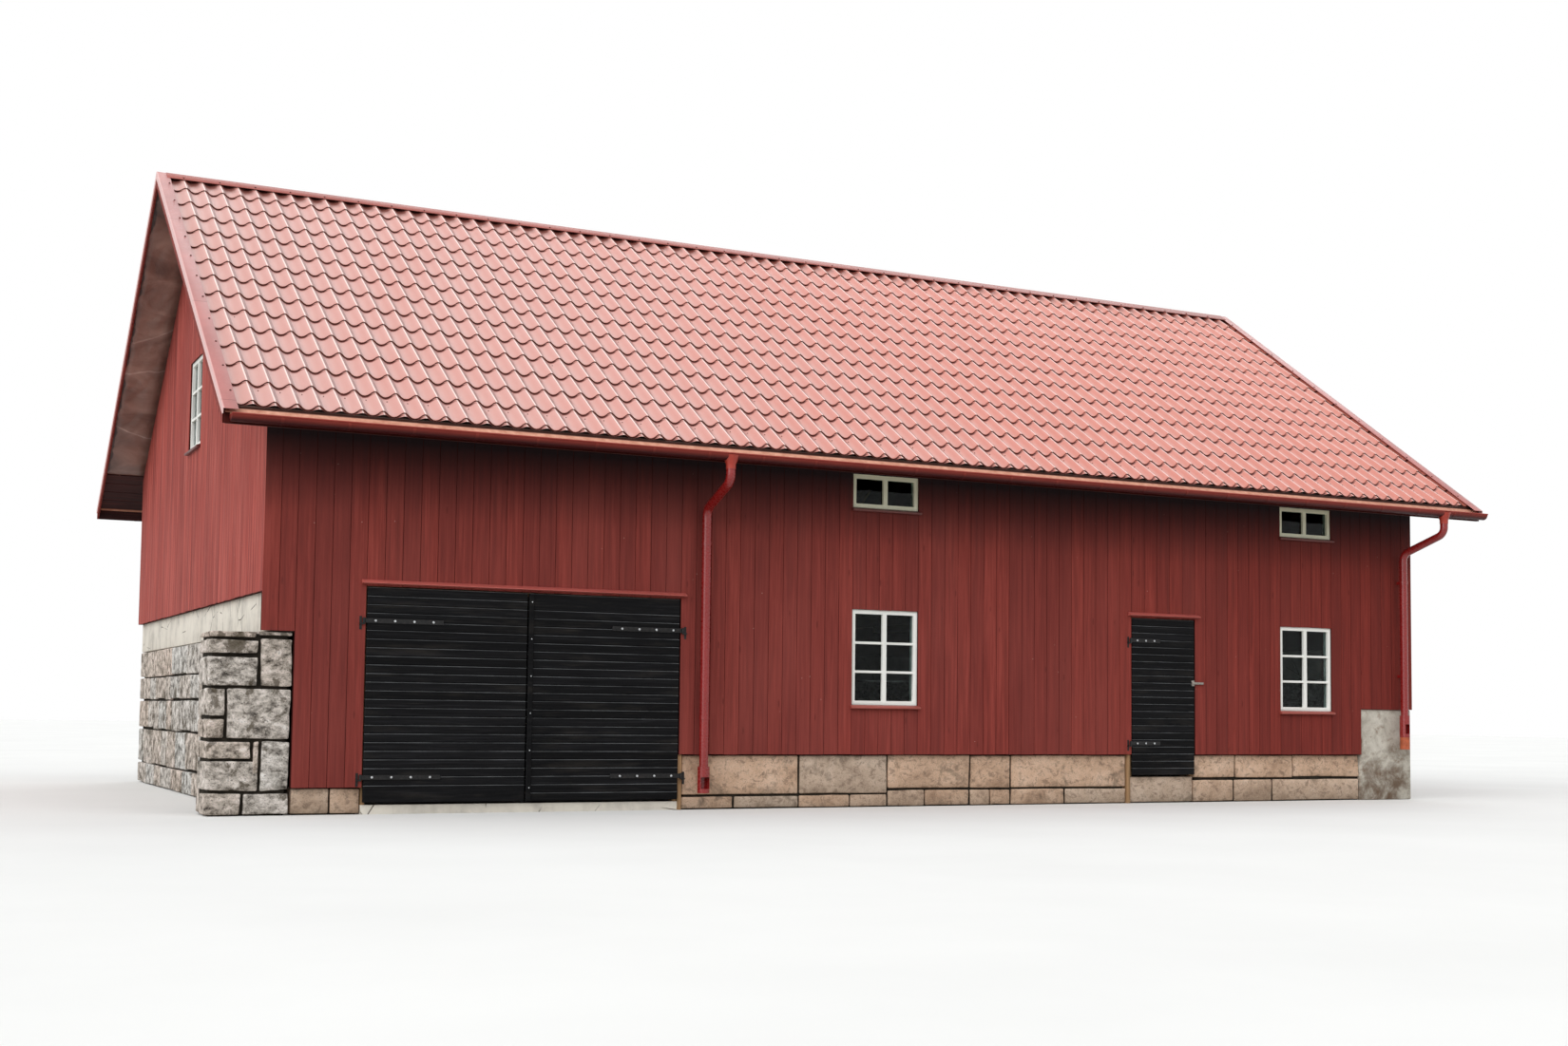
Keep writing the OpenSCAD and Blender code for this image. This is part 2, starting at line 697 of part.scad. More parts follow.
module roof_front() color("indianred") house() roof_sheet();

module roof_back() color("indianred") house() to_back() roof_sheet();

module ridge_cap() color("indianred") house() {
    lift = 2 * trim_sheet;
    wing_u = cap_w * cos_p;
    front_and_back() {
        layer(0, wing_u, -lift, -trim_sheet, roof_x0 + cap_in, roof_x1 - cap_in);
        layer(wing_u - trim_sheet, wing_u, -lift, 0, roof_x0 + verge_w, roof_x1 - verge_w);
    }
}

module eave_boards() color("maroon") house() front_and_back()
    layer(half_w, tail_u, membrane_d, board_d, roof_end0, roof_end1);

module fascia_boards() color("maroon") house() front_and_back() {
    low = roof_z(fascia_u, membrane_d) - fascia_h;
    along(roof_end0, roof_end1) polygon([[half_w - tail_u, roof_z(tail_u, membrane_d)],
        [half_w - fascia_u, roof_z(fascia_u, membrane_d)], [half_w - fascia_u, low],
        [half_w - tail_u, low]]);
}

module barge_boards() color("firebrick") house()
    for (x = [roof_x0 + trim_sheet, roof_end1])
        front_and_back() layer(0, fascia_u, 0, barge_h, x, x + trim_t);

// A verge flashing's side over the barge board, ending above the gutter
module verge_side(x) {
    low = gutter_z + gutter_gap;
    low_u = (ridge_h - verge_h / cos_p - low) / tan_p;
    along(x, x + trim_sheet) polygon([[half_w, roof_z(0, -trim_sheet)],
        [half_w - verge_u, roof_z(verge_u, -trim_sheet)], [half_w - verge_u, low],
        [half_w - low_u, low], [half_w, roof_z(0, verge_h)]]);
}

module verge_flashings() color("palevioletred") house() front_and_back() {
    layer(0, verge_u, -trim_sheet, 0, roof_x0, roof_x0 + verge_w);
    layer(0, verge_u, -trim_sheet, 0, roof_x1 - verge_w, roof_x1);
    verge_side(roof_x0);
    verge_side(roof_x1 - trim_sheet);
}

module drip_edges() color("wheat") house() front_and_back() {
    edge_u = fascia_u + drip_past;
    low = gutter_z - drip_dip;
    top_d = sheet_d + seat;
    layer(fascia_u - lap_w, edge_u, top_d, membrane_d - seat, roof_end0, roof_end1);
    fold_x = roof_x0 + gutter_in + gutter_t + butt_gap;
    translate([0, half_w - edge_u, 0]) along(fold_x, roof_end1)
        polygon([[0, roof_z(edge_u, top_d)], [0, low], [trim_sheet, low],
            [trim_sheet, roof_z(edge_u - trim_sheet, top_d)]]);
}

// The gutter's round bottom, rim bead and ends
module gutter() {
    x0 = roof_x0 + gutter_in;
    translate([0, gutter_y, gutter_z]) {
        along(x0, roof_x1) difference() {
            circle(r = gutter_r);
            circle(r = gutter_r - gutter_t);
            translate([-gutter_d, 0]) square([2 * gutter_d, gutter_d]);
        }
        along(x0, roof_x1) translate([-gutter_r + gutter_t / 2, 0]) circle(r = bead_r);
        for (x = [x0, roof_x1 - gutter_t]) along(x, x + gutter_t) difference() {
            circle(r = gutter_r);
            translate([-gutter_d, 0]) square([2 * gutter_d, gutter_d]);
        }
    }
}

module gutters() color("darkred") house() front_and_back() gutter();

// A hook bent around the gutter and fixed to the fascia
module hook(x) translate([x - hook_w / 2, 0, 0]) along(0, hook_w) translate([gutter_y, gutter_z]) {
    difference() {
        circle(r = gutter_r + hook_t);
        circle(r = gutter_r + seat);
        translate([-gutter_d, -hook_lip]) square([gutter_d + gutter_r, gutter_d]);
        square(gutter_d);
    }
    translate([gutter_r, hook_top - hook_h]) square([gutter_gap, hook_h]);
}

// The hooks, left out where an outlet sits
module gutter_hooks() color("darkred") house() front_and_back() {
    clear = outlet_r + hook_w;
    for (i = [0 : floor(wall_l / hook_step) + 1]) {
        x = i * hook_step;
        if (abs(x - outlet_left) > clear && abs(x - outlet_right_x) > clear) hook(x);
    }
}

// An outlet cone that wraps the gutter and narrows to the pipe
module outlet(x) translate([x, gutter_y, 0]) difference() {
    union() {
        translate([0, 0, spout_z])
            cylinder(h = outlet_h - rim_gap, r1 = pipe_r + pipe_t, r2 = outlet_r);
        translate([0, 0, spout_z - sleeve_l]) cylinder(h = sleeve_l + cut, r = pipe_r + pipe_t);
    }
    translate([0, 0, spout_z]) cylinder(h = outlet_h, r1 = pipe_r, r2 = outlet_r - pipe_t);
    translate([0, 0, spout_z - sleeve_l - cut]) cylinder(h = sleeve_l + 3 * cut, r = pipe_r + butt_gap);
    translate([-outlet_r - cut, 0, gutter_z]) rotate([0, 90, 0])
        cylinder(h = 2 * (outlet_r + cut), r = gutter_r + butt_gap);
    translate([-outlet_r, gutter_u - fascia_u - butt_gap, spout_z])
        cube([2 * outlet_r, outlet_r, 2 * outlet_r]);
}

module gutter_outlets() color("firebrick") house() front_and_back() {
    outlet(outlet_left);
    outlet(outlet_right_x);
}

module downpipes() color("darkred") house() front_and_back() {
    left_pipe() pipe(shoe_z_left + shoe_l - socket_l);
    right_pipe() pipe(shoe_z_right + shoe_l - socket_l);
}

module pipe_shoes() color("darkred") house() front_and_back() {
    left_pipe() shoe(shoe_z_left);
    right_pipe() shoe(shoe_z_right);
}

module pipe_clamps() color("darkred") house() front_and_back() {
    for (z = [clamp_top, shoe_z_left + shoe_l + clamp_low]) left_pipe() clamp(z, pipe_off);
    for (z = [clamp_top, shoe_z_right + shoe_l + clamp_low])
        translate([right_pipe_x, right_pipe_y, 0]) clamp(z, -right_pipe_y);
}

module drain_collar() color("chocolate") house() right_pipe()
    translate([0, 0, shoe_z_right - collar_h]) difference() {
        cylinder(h = collar_h, r = collar_r);
        translate([0, 0, -cut]) cylinder(h = collar_h + 2 * cut, r = collar_r - collar_t);
    }

module door_frames() color("saddlebrown") house() {
    translate([big_x, 0, 0]) door_frame(big_w, slab_t, big_w);
    translate([small_x, 0, 0]) door_frame(small_w, small_z - step_gap, -jamb_w);
}

module drip_flashings() color("indianred") house() {
    drip(big_x, big_x + big_w);
    drip(small_x, small_x + small_w);
}

module big_door_left() color("dimgray") house() translate([big_x + leaf_gap, 0, 0]) leaf(big_left_w, big_z);

module big_door_right() color("dimgray") house()
    translate([big_x + big_w - leaf_gap - big_right_w, 0, 0]) {
        leaf(big_right_w, big_z);
        translate([0, -leaf_out - strip_t, big_z]) cube([strip_w, strip_t, leaf_top - big_z]);
    }

module small_door() color("dimgray") house()
    translate([small_x + leaf_gap, 0, 0]) leaf(small_w - 2 * leaf_gap, small_z);

// Places at the hinge pins of the three doors
module left_pin() translate([big_x + leaf_gap - pin_side, pin_y, 0]) children();
module right_pin() translate([big_x + big_w - leaf_gap + pin_side, pin_y, 0])
    mirror([1, 0, 0]) children();
module small_pin() translate([small_x + leaf_gap - pin_side, pin_y, 0]) children();

module straps_left_leaf() color("black") house() left_pin()
    for (z = [big_hinge_low, big_hinge_top]) strap(big_strap_l, z);

module straps_right_leaf() color("black") house() right_pin()
    for (z = [big_hinge_low, big_hinge_top]) strap(big_strap_l, z);

module straps_small_door() color("black") house() small_pin()
    for (z = [small_hinge_low, small_hinge_top]) strap(small_strap_l, z);

module hinge_pintles() color("black") house() {
    left_pin() for (z = [big_hinge_low, big_hinge_top]) pintle(z);
    right_pin() for (z = [big_hinge_low, big_hinge_top]) pintle(z);
    small_pin() for (z = [small_hinge_low, small_hinge_top]) pintle(z);
}

module door_latch() color("silver") house()
    translate([small_x + small_w - leaf_gap, -leaf_out, latch_z]) {
        translate([-latch_w - jamb_gap, -iron_t, -latch_h / 2]) cube([latch_w, iron_t, latch_h]);
        translate([-latch_w, -2 * iron_t, -bolt_h / 2]) cube([latch_l + latch_w, iron_t, bolt_h]);
    }

module window_frames() color("white") house() {
    front_lower_places() window(3, win_h);
    front_upper_places() window(1, small_win_h);
    to_back() front_upper_places() window(1, small_win_h);
    gable_places() window(3, win_h);
}

module window_glass() color("lightsteelblue") house() {
    front_lower_places() glass(win_h);
    front_upper_places() glass(small_win_h);
    to_back() front_upper_places() glass(small_win_h);
    gable_places() glass(win_h);
}

module window_sills() color("firebrick") house() {
    front_lower_places() sill();
    front_upper_places() sill();
    to_back() front_upper_places() sill();
    gable_places() sill();
}

plinth_front();
foundation_left();
foundation_right();
foundation_back();
corner_block();
concrete_band();
door_step();
ground_floor();
loft_floor();
floor_beams();
front_wall_left();
front_wall_over_doors();
front_wall_middle();
front_wall_right();
left_gable_wall();
right_gable_wall();
back_wall();
rafters();
roof_membrane();
roof_front();
roof_back();
ridge_cap();
eave_boards();
fascia_boards();
barge_boards();
verge_flashings();
drip_edges();
gutters();
gutter_hooks();
gutter_outlets();
downpipes();
pipe_clamps();
pipe_shoes();
drain_collar();
door_frames();
drip_flashings();
hinge_pintles();
big_door_left();
big_door_right();
small_door();
straps_left_leaf();
straps_right_leaf();
straps_small_door();
door_latch();
window_frames();
window_glass();
window_sills();
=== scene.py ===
"""A red barn with a metal tile roof, dressed on its fixed frame and laid out as an add-on."""

import json
import math
import random

import bpy
import numpy as np
from bpy.props import FloatProperty, FloatVectorProperty, IntProperty, PointerProperty
from mathutils import Matrix, Vector, noise

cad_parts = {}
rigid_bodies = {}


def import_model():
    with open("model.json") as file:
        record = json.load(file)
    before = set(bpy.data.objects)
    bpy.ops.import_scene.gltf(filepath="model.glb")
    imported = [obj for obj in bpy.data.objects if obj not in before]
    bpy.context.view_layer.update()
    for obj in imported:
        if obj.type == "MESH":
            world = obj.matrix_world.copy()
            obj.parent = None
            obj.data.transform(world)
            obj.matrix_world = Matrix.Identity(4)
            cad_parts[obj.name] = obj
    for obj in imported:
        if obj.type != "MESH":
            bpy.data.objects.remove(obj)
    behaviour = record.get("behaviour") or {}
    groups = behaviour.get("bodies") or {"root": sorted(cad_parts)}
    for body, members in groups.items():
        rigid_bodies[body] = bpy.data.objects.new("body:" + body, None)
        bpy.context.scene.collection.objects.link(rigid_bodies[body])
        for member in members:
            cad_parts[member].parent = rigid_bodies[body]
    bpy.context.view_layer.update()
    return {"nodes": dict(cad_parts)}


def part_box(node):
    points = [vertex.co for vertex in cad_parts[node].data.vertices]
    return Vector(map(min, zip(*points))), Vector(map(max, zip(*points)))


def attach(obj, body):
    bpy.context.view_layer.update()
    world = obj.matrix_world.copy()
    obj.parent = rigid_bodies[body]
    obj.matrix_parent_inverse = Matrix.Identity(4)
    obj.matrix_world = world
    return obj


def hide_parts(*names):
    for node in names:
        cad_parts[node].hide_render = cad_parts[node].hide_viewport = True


bl_info = {
    "name": "Red Barn",
    "version": (1, 0, 0),
    "blender": (4, 5, 0),
    "location": "View3D > Sidebar > Barn",
    "description": "Boards, stones, roof sheets and finishes for a red barn",
    "category": "Object",
}

for leftover in list(bpy.data.objects):
    bpy.data.objects.remove(leftover)
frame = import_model()

# Places of the house, from the frame. u is the level distance from the ridge, d the depth below the crests.

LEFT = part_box("left_gable_wall")[0].x
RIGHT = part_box("right_gable_wall")[1].x
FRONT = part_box("front_wall_middle")[0].y
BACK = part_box("back_wall")[1].y
BOARD_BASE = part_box("front_wall_middle")[0].z
LOW_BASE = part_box("front_wall_left")[0].z
LEFT_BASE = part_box("left_gable_wall")[0].z
RIGHT_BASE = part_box("right_gable_wall")[0].z
BACK_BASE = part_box("back_wall")[0].z
CORNER_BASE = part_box("foundation_left")[1].z
CORNER_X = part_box("plinth_front")[0].x
BIG_X0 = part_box("front_wall_left")[1].x
BIG_X1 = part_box("front_wall_middle")[0].x
SMALL_X0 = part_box("front_wall_middle")[1].x
SMALL_X1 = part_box("front_wall_right")[0].x
DOOR_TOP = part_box("front_wall_over_doors")[0].z
BLOCK_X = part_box("corner_block")[0].x
BLOCK_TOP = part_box("corner_block")[1].z
ROOF_X0, ROOF_X1 = (corner.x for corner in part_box("verge_flashings"))
SHEET_X0, SHEET_X1 = (corner.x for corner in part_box("roof_front"))
EAVE_U = -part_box("roof_front")[0].y
PITCH = math.radians(35)
TAN, COS, SIN = math.tan(PITCH), math.cos(PITCH), math.sin(PITCH)
CAP_RISE = 0.006
RIDGE_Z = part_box("ridge_cap")[1].z - CAP_RISE / COS
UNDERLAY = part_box("roof_membrane")
MEMBRANE_D = (RIDGE_Z - UNDERLAY[1].y * TAN - UNDERLAY[0].z) * COS


def on_slope(u, d=0.0):
    """Height of a roof layer."""
    return RIDGE_Z - u * TAN - d / COS


def points_of(mesh):
    """A mesh's points as rows of three numbers."""
    points = np.empty(len(mesh.vertices) * 3)
    mesh.vertices.foreach_get("co", points)
    return points.reshape(-1, 3)


def window_places():
    """The windows' openings, as (lower, upper) along the wall and in height, read from their panes."""
    sash, wall_depth, above_middle = 0.042, 0.3, 0.2

    def opening(panes, axis):
        return tuple(
            end for i in (axis, 2) for end in (panes[:, i].min() - sash, panes[:, i].max() + sash)
        )

    panes = points_of(frame["nodes"]["window_glass"].data)
    front = panes[panes[:, 1] < FRONT + wall_depth]
    side = panes[panes[:, 0] < LEFT + wall_depth]
    middle = (LEFT + RIGHT) / 2
    split = (front[:, 2].min() + front[:, 2].max()) / 2 + above_middle
    found = [
        opening(front[part & level], 0)
        for part in (front[:, 0] < middle, front[:, 0] >= middle)
        for level in (front[:, 2] < split, front[:, 2] >= split)
    ]
    return found, opening(side, 1)


FRONT_WINDOWS, GABLE_WINDOW = window_places()
UPPER_WINDOWS = [w for w in FRONT_WINDOWS if w[2] > DOOR_TOP]


def paint(red, green, blue):
    """A colour as seen on a screen, 0 to 255, in the linear values that materials take."""
    return tuple(
        c / 12.92 if c <= 0.04045 else ((c + 0.055) / 1.055) ** 2.4
        for c in (red / 255, green / 255, blue / 255)
    )


def shade(colour, factor):
    """A lighter or darker version of a colour."""
    return tuple(min(1.0, c * factor) for c in colour)


def blend_to(colour, other, share):
    """A colour on the way to another one."""
    return tuple(a + (b - a) * share for a, b in zip(colour, other))


COLOUR = {"subtype": "COLOR", "size": 3, "min": 0, "max": 1}


class BarnSizes(bpy.types.PropertyGroup):
    """Sizes of the boards, stones and roof tiles."""

    board: FloatProperty(
        name="Wall board", description="Width of a wall board",
        default=0.157, min=0.1, max=0.25, unit="LENGTH",
    )
    joint: FloatProperty(
        name="Joint", description="Gap between two wall boards",
        default=0.005, min=0.002, max=0.01, unit="LENGTH",
    )
    proud: FloatProperty(
        name="Proud", description="Distance that the boards stand out from the wall",
        default=0.003, min=0.001, max=0.006, unit="LENGTH",
    )
    door_board: FloatProperty(
        name="Door board", description="Height of a door board",
        default=0.075, min=0.05, max=0.15, unit="LENGTH",
    )
    wave: FloatProperty(
        name="Tile width", description="Width of one wave of the roof sheets",
        default=0.1833, min=0.15, max=0.25, unit="LENGTH",
    )
    wave_start: FloatProperty(
        name="First crest", description="Distance of a crest from the house's left corner",
        default=-0.2075, min=-0.3, max=0.3, unit="LENGTH",
    )
    wave_height: FloatProperty(
        name="Wave height", description="Height of the roof sheet's waves",
        default=0.0255, min=0.01, max=0.04, unit="LENGTH",
    )
    row: FloatProperty(
        name="Tile length", description="Length of one row of the roof sheets",
        default=0.377, min=0.3, max=0.5, unit="LENGTH",
    )
    row_step: FloatProperty(
        name="Row step", description="Step at the lower end of a row",
        default=0.0145, min=0.003, max=0.02, unit="LENGTH",
    )
    row_curve: FloatProperty(
        name="Row curve", description="Distance that a row's end is higher up at the crests than in the pans",
        default=0.05, min=0.0, max=0.08, unit="LENGTH",
    )
    seed: IntProperty(
        name="Seed", description="Start of the chance that varies boards and stones",
        default=7, min=0, max=999,
    )


class BarnColours(bpy.types.PropertyGroup):
    """Colours of the paints, metals and stones."""

    wall: FloatVectorProperty(
        name="Wall paint", description="Red earth paint on the boards", default=paint(139, 58, 51), **COLOUR
    )
    roof: FloatVectorProperty(
        name="Roof metal", description="Coating of the roof sheets", default=paint(232, 139, 121), **COLOUR
    )
    # Paler roof colour to the left, a painted reflection of the sky.
    sky_sheen: FloatVectorProperty(
        name="Bleached metal", description="Coating where the weather has bleached it",
        default=paint(235, 188, 181), **COLOUR
    )
    gutter: FloatVectorProperty(
        name="Gutter metal", description="Coating of gutters and pipes", default=paint(146, 28, 27), **COLOUR
    )
    # Dark red paint of the eaves boards, made darker still as painted shade under the eaves.
    trim: FloatVectorProperty(
        name="Dark trim", description="Paint of the eaves boards", default=paint(44, 16, 16), **COLOUR
    )
    door: FloatVectorProperty(
        name="Door stain", description="Black stain of the door boards", default=paint(25, 25, 27), **COLOUR
    )
    white: FloatVectorProperty(
        name="Window paint", description="White paint of the windows", default=paint(250, 251, 246), **COLOUR
    )
    granite: FloatVectorProperty(
        name="Granite", description="Granite of the plinth and walls", default=paint(186, 165, 146), **COLOUR
    )
    concrete: FloatVectorProperty(
        name="Concrete", description="Cast band and corner block", default=paint(230, 224, 213), **COLOUR
    )
    wood: FloatVectorProperty(
        name="Bare wood", description="Unpainted beams and boards", default=paint(168, 134, 98), **COLOUR
    )


# Finishes


def connect(tree, socket, value):
    """Gives a socket a colour, a number or another node's output."""
    if isinstance(value, bpy.types.NodeSocket):
        tree.links.new(value, socket)
    elif hasattr(value, "__len__"):
        value = tuple(value)
        socket.default_value = (*value, 1.0) if len(value) == 3 and socket.type == "RGBA" else value
    else:
        socket.default_value = value


def add_node(tree, kind, inputs=None, **settings):
    """A shader node with its settings and its inputs."""
    node = tree.nodes.new("ShaderNode" + kind)
    for key, value in settings.items():
        setattr(node, key, value)
    for key, value in (inputs or {}).items():
        connect(tree, node.inputs[key], value)
    return node


class Finish:
    """A material that is put together from procedural nodes, its colour laid on in layers."""

    def __init__(self, name, roughness, metallic=0.0, coat=0.0, specular=0.5):
        self.material = bpy.data.materials.new(name)
        self.material.use_nodes = True
        self.tree = self.material.node_tree
        self.tree.nodes.clear()
        self.shader = self.node("BsdfPrincipled", {
            "Roughness": roughness,
            "Metallic": metallic,
            "Coat Weight": coat,
            "Coat Roughness": 0.15,
            "Specular IOR Level": specular,
        })
        self.out = self.node("OutputMaterial", {0: self.shader.outputs[0]})
        self.coordinates = self.node("TexCoord").outputs["Object"]
        self.look = None

    def node(self, kind, inputs=None, **settings):
        return add_node(self.tree, kind, inputs, **settings)

    def place(self, stretch):
        """Object coordinates, stretched along the axes."""
        return self.node("Mapping", {"Vector": self.coordinates, "Scale": stretch}).outputs[0]

    def clouds(self, size, detail=4.0, roughness=0.55, warp=0.0, stretch=(1, 1, 1)):
        """Soft noise with spots of about 1 / size metres."""
        return self.node("TexNoise", {
            "Vector": self.place(stretch),
            "Scale": size,
            "Detail": detail,
            "Roughness": roughness,
            "Distortion": warp,
        }).outputs["Fac"]

    def cells(self, size, stretch=(1, 1, 1), feature="F1"):
        """Distance to scattered points, or to the edges between them."""
        inputs = {"Vector": self.place(stretch), "Scale": size}
        return self.node("TexVoronoi", inputs, feature=feature).outputs["Distance"]

    def own(self, name):
        """A value that the piece carries itself."""
        return self.node("Attribute", attribute_name=name).outputs["Fac"]

    def along(self, axis):
        """The place along an axis of the house."""
        return self.node("SeparateXYZ", {0: self.coordinates}).outputs[axis]

    def math(self, operation, a, b=0.0, clamp=False):
        return self.node("Math", {0: a, 1: b}, operation=operation, use_clamp=clamp).outputs[0]

    def range(self, value, low, high, to_low=0.0, to_high=1.0):
        """Spreads a part of a value's range over another range."""
        return self.node("MapRange", {
            "Value": value,
            "From Min": low,
            "From Max": high,
            "To Min": to_low,
            "To Max": to_high,
        }).outputs["Result"]

    def ramp(self, value, *stops):
        """A colour ramp; a stop is a place and a colour, or a place and three numbers for paint."""
        node = self.node("ValToRGB", {0: value})
        parts = node.color_ramp.elements
        while len(parts) < len(stops):
            parts.new(0.5)
        for part, (at, *colour) in zip(parts, stops):
            part.position = at
            part.color = (*(colour[0] if len(colour) == 1 else paint(*colour)), 1.0)
        return node.outputs[0]

    def mix(self, share, a, b, blend="MIX"):
        """Mixes two colours."""
        node = self.node("Mix", {"Factor": share}, data_type="RGBA", blend_type=blend)
        for socket, colour in zip([s for s in node.inputs if s.type == "RGBA"], (a, b)):
            connect(self.tree, socket, colour)
        return [s for s in node.outputs if s.type == "RGBA"][0]

    def colour(self, value):
        """Sets the colour that the surface has so far."""
        self.look = value
        connect(self.tree, self.shader.inputs["Base Color"], value)

    def cover(self, colour, share, blend="MIX"):
        """Lays a share of a colour over the surface."""
        self.colour(self.mix(share, self.look, colour, blend))

    def over(self, colour, value, low, high, start, end, blend="MIX"):
        """Lays a colour over the surface, from a start to an end share as a value goes from low to high."""
        self.cover(colour, self.range(value, low, high, start, end), blend)

    def rough(self, value):
        connect(self.tree, self.shader.inputs["Roughness"], value)

    def bump(self, value, strength, depth):
        """Raises the surface by a value; several bumps add up."""
        node = self.node("Bump", {"Strength": strength, "Distance": depth, "Height": value})
        normal = self.shader.inputs["Normal"]
        if normal.is_linked:
            self.tree.links.new(normal.links[0].from_socket, node.inputs["Normal"])
        self.tree.links.new(node.outputs[0], normal)


def plain_finish(name, spots, stops, grain, strength, depth, **shine):
    """A range of colours over clouds, with a finer grain."""
    f = Finish(name, **shine)
    f.colour(f.ramp(f.clouds(*spots), *stops))
    f.bump(f.clouds(*grain), strength, depth)
    return f


def painted_boards(
    name, colour, upright=True, roughness=0.82, contrast=1.0, worn=0.3, eave_shade=None, streaks=0.0
):
    """Painted sawn boards: grain along the board, tone from board to board, knots and worn streaks, and where
    asked painted shade under the eaves.
    """
    f = Finish(name, roughness, specular=0.25)

    def stretch(across, along):
        return (across, across, along) if upright else (along, across, across)

    grain = f.clouds(1.0, 6, 0.6, 0.4, stretch(34, 1.1))
    hair = f.clouds(1.0, 3, 0.5, 0.0, stretch(160, 3.0))
    patches = f.clouds(1.0, 3, 0.5, 0.0, stretch(1.6, 0.5))
    light = blend_to(shade(colour, 1 + 0.26 * contrast), paint(196, 110, 98), 0.12)
    f.colour(f.ramp(grain, (0.3, shade(colour, 1 - 0.32 * contrast)), (0.5, colour), (0.7, light)))
    dull = blend_to(shade(colour, 0.55), paint(96, 50, 52), 0.3)
    f.over(dull, f.own("tone"), 0, 1, 0, 0.5 * contrast)
    f.over(blend_to(shade(colour, 1.35), paint(190, 120, 110), 0.25), patches, 0.45, 0.75, 0, worn)
    f.over(shade(colour, 0.55), hair, 0.52, 0.75, 0, 0.35)
    f.over(shade(colour, 0.42), f.cells(1.0, stretch(9, 2.2)), 0.05, 0.1, 0.55, 0)
    if streaks:
        streak = f.clouds(1.0, 3, 0.6, 0.3, (62, 62, 0.7))
        pale = blend_to(shade(colour, 1.5), paint(214, 140, 130), 0.4)
        f.over(shade(colour, 0.5), streak, 0.54, 0.62, 0, streaks)
        f.over(pale, streak, 0.46, 0.38, 0, streaks * 0.8)
    f.over(paint(214, 182, 172), f.cells(6.5), 0.018, 0.03, 0.75, 0)
    if eave_shade:
        # Darker towards the right end of the wall.
        f.over((0.76, 0.52, 0.46), f.along("X"), 0, RIGHT, 0, 0.85, "MULTIPLY")
        # Painted shade under the eaves, deepening towards the top of the wall.
        eave_shade_share = f.range(f.along("Z"), *eave_shade, 0, 0.98)
        f.cover(paint(25, 13, 17), f.math("POWER", eave_shade_share, 1.15))
    f.rough(f.range(grain, 0.2, 0.8, roughness - 0.1, roughness + 0.06))
    f.bump(grain, 0.25, 0.002)
    f.bump(hair, 0.35, 0.0012)
    return f


def sheet_surface(f, roughness, ripple):
    """The uneven gloss and slight ripple of sheet metal; gives the specks back."""
    specks = f.clouds(46, 4, 0.65)
    f.rough(f.range(specks, 0.3, 0.8, roughness - 0.06, roughness + 0.16))
    f.bump(f.clouds(9, 2, 0.4), ripple, 0.004)
    return specks


def coated_metal(name, colour, roughness, dust, coat, mottle, specular=0.5, ripple=0.12):
    """Coated steel sheet: even colour, faint dust and scuffs."""
    f = Finish(name, roughness, coat=coat, specular=specular)
    ends = shade(colour, 1 - mottle), shade(colour, 1 + mottle)
    f.colour(f.ramp(f.clouds(2.2, 5, 0.6), (0.3, ends[0]), (0.55, colour), (0.8, ends[1])))
    specks = sheet_surface(f, roughness, ripple)
    f.over(blend_to(colour, paint(214, 190, 176), 0.5), specks, 0.5, 0.8, 0, dust)
    return f


def rolled_metal(name, stain, lower, upper):
    """Metal of the gutters and their hooks, with painted shade low down and painted light towards the upper
    edge.
    """
    f = Finish(name, 0.42, specular=0.2)
    low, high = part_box("gutters")
    # Painted shade on the lower side, painted light towards the upper edge.
    f.colour(f.mix(f.range(f.along("Z"), low.z + 0.012, high.z - 0.008), lower, upper))
    f.over(stain, f.clouds(3), 0.3, 0.7, 0, 0.3)
    sheet_surface(f, 0.42, 0.12)
    return f


def verge_metal():
    """Verge flashings with a painted highlight on the outer edge and a seam at each length of sheet."""
    f = coated_metal("verge_coating", paint(188, 118, 114), 0.38, 0.25, 0.15, 0.16)
    half, sheet_length = (ROOF_X1 - ROOF_X0) / 2, 2.0
    from_middle = f.math("ABSOLUTE", f.math("SUBTRACT", f.along("X"), ROOF_X0 + half))
    # Painted highlight along the outer edge.
    f.over(paint(236, 190, 186), f.math("SUBTRACT", half, from_middle), 0.004, 0.014, 0.75, 0)
    from_eave = f.math("SUBTRACT", EAVE_U, f.math("ABSOLUTE", f.along("Y")))
    lengths = f.math("ADD", f.math("DIVIDE", from_eave, sheet_length * COS), 4.0)
    f.over(paint(120, 60, 58), f.math("FRACT", lengths), 0.003, 0.006, 0.6, 0)
    return f


def drip_metal():
    """Drip edges, pale outside, with painted shade where they run under the roof sheets."""
    f = Finish("pale_drip_edge", 0.75, specular=0.08)
    pale = f.ramp(f.clouds(14, 5, 0.6), (0.3, 188, 126, 104), (0.7, 222, 166, 142))
    out = f.math("ABSOLUTE", f.along("Y"))
    # Painted shade on the part under the roof sheets.
    f.colour(f.mix(f.range(out, EAVE_U + 0.012, EAVE_U + 0.03), paint(52, 26, 20), pale))
    f.bump(f.clouds(30), 0.15, 0.002)
    return f


def sill_metal():
    """Window sills, with painted shade on the upper windows under the eaves."""
    f = coated_metal("sill_coating", paint(166, 78, 68), 0.45, 0.2, 0.1, 0.1)
    # Painted shade on the upper sills under the eaves.
    f.over(paint(84, 38, 36), f.along("Z"), DOOR_TOP, DOOR_TOP + 0.5, 0, 0.85)
    return f


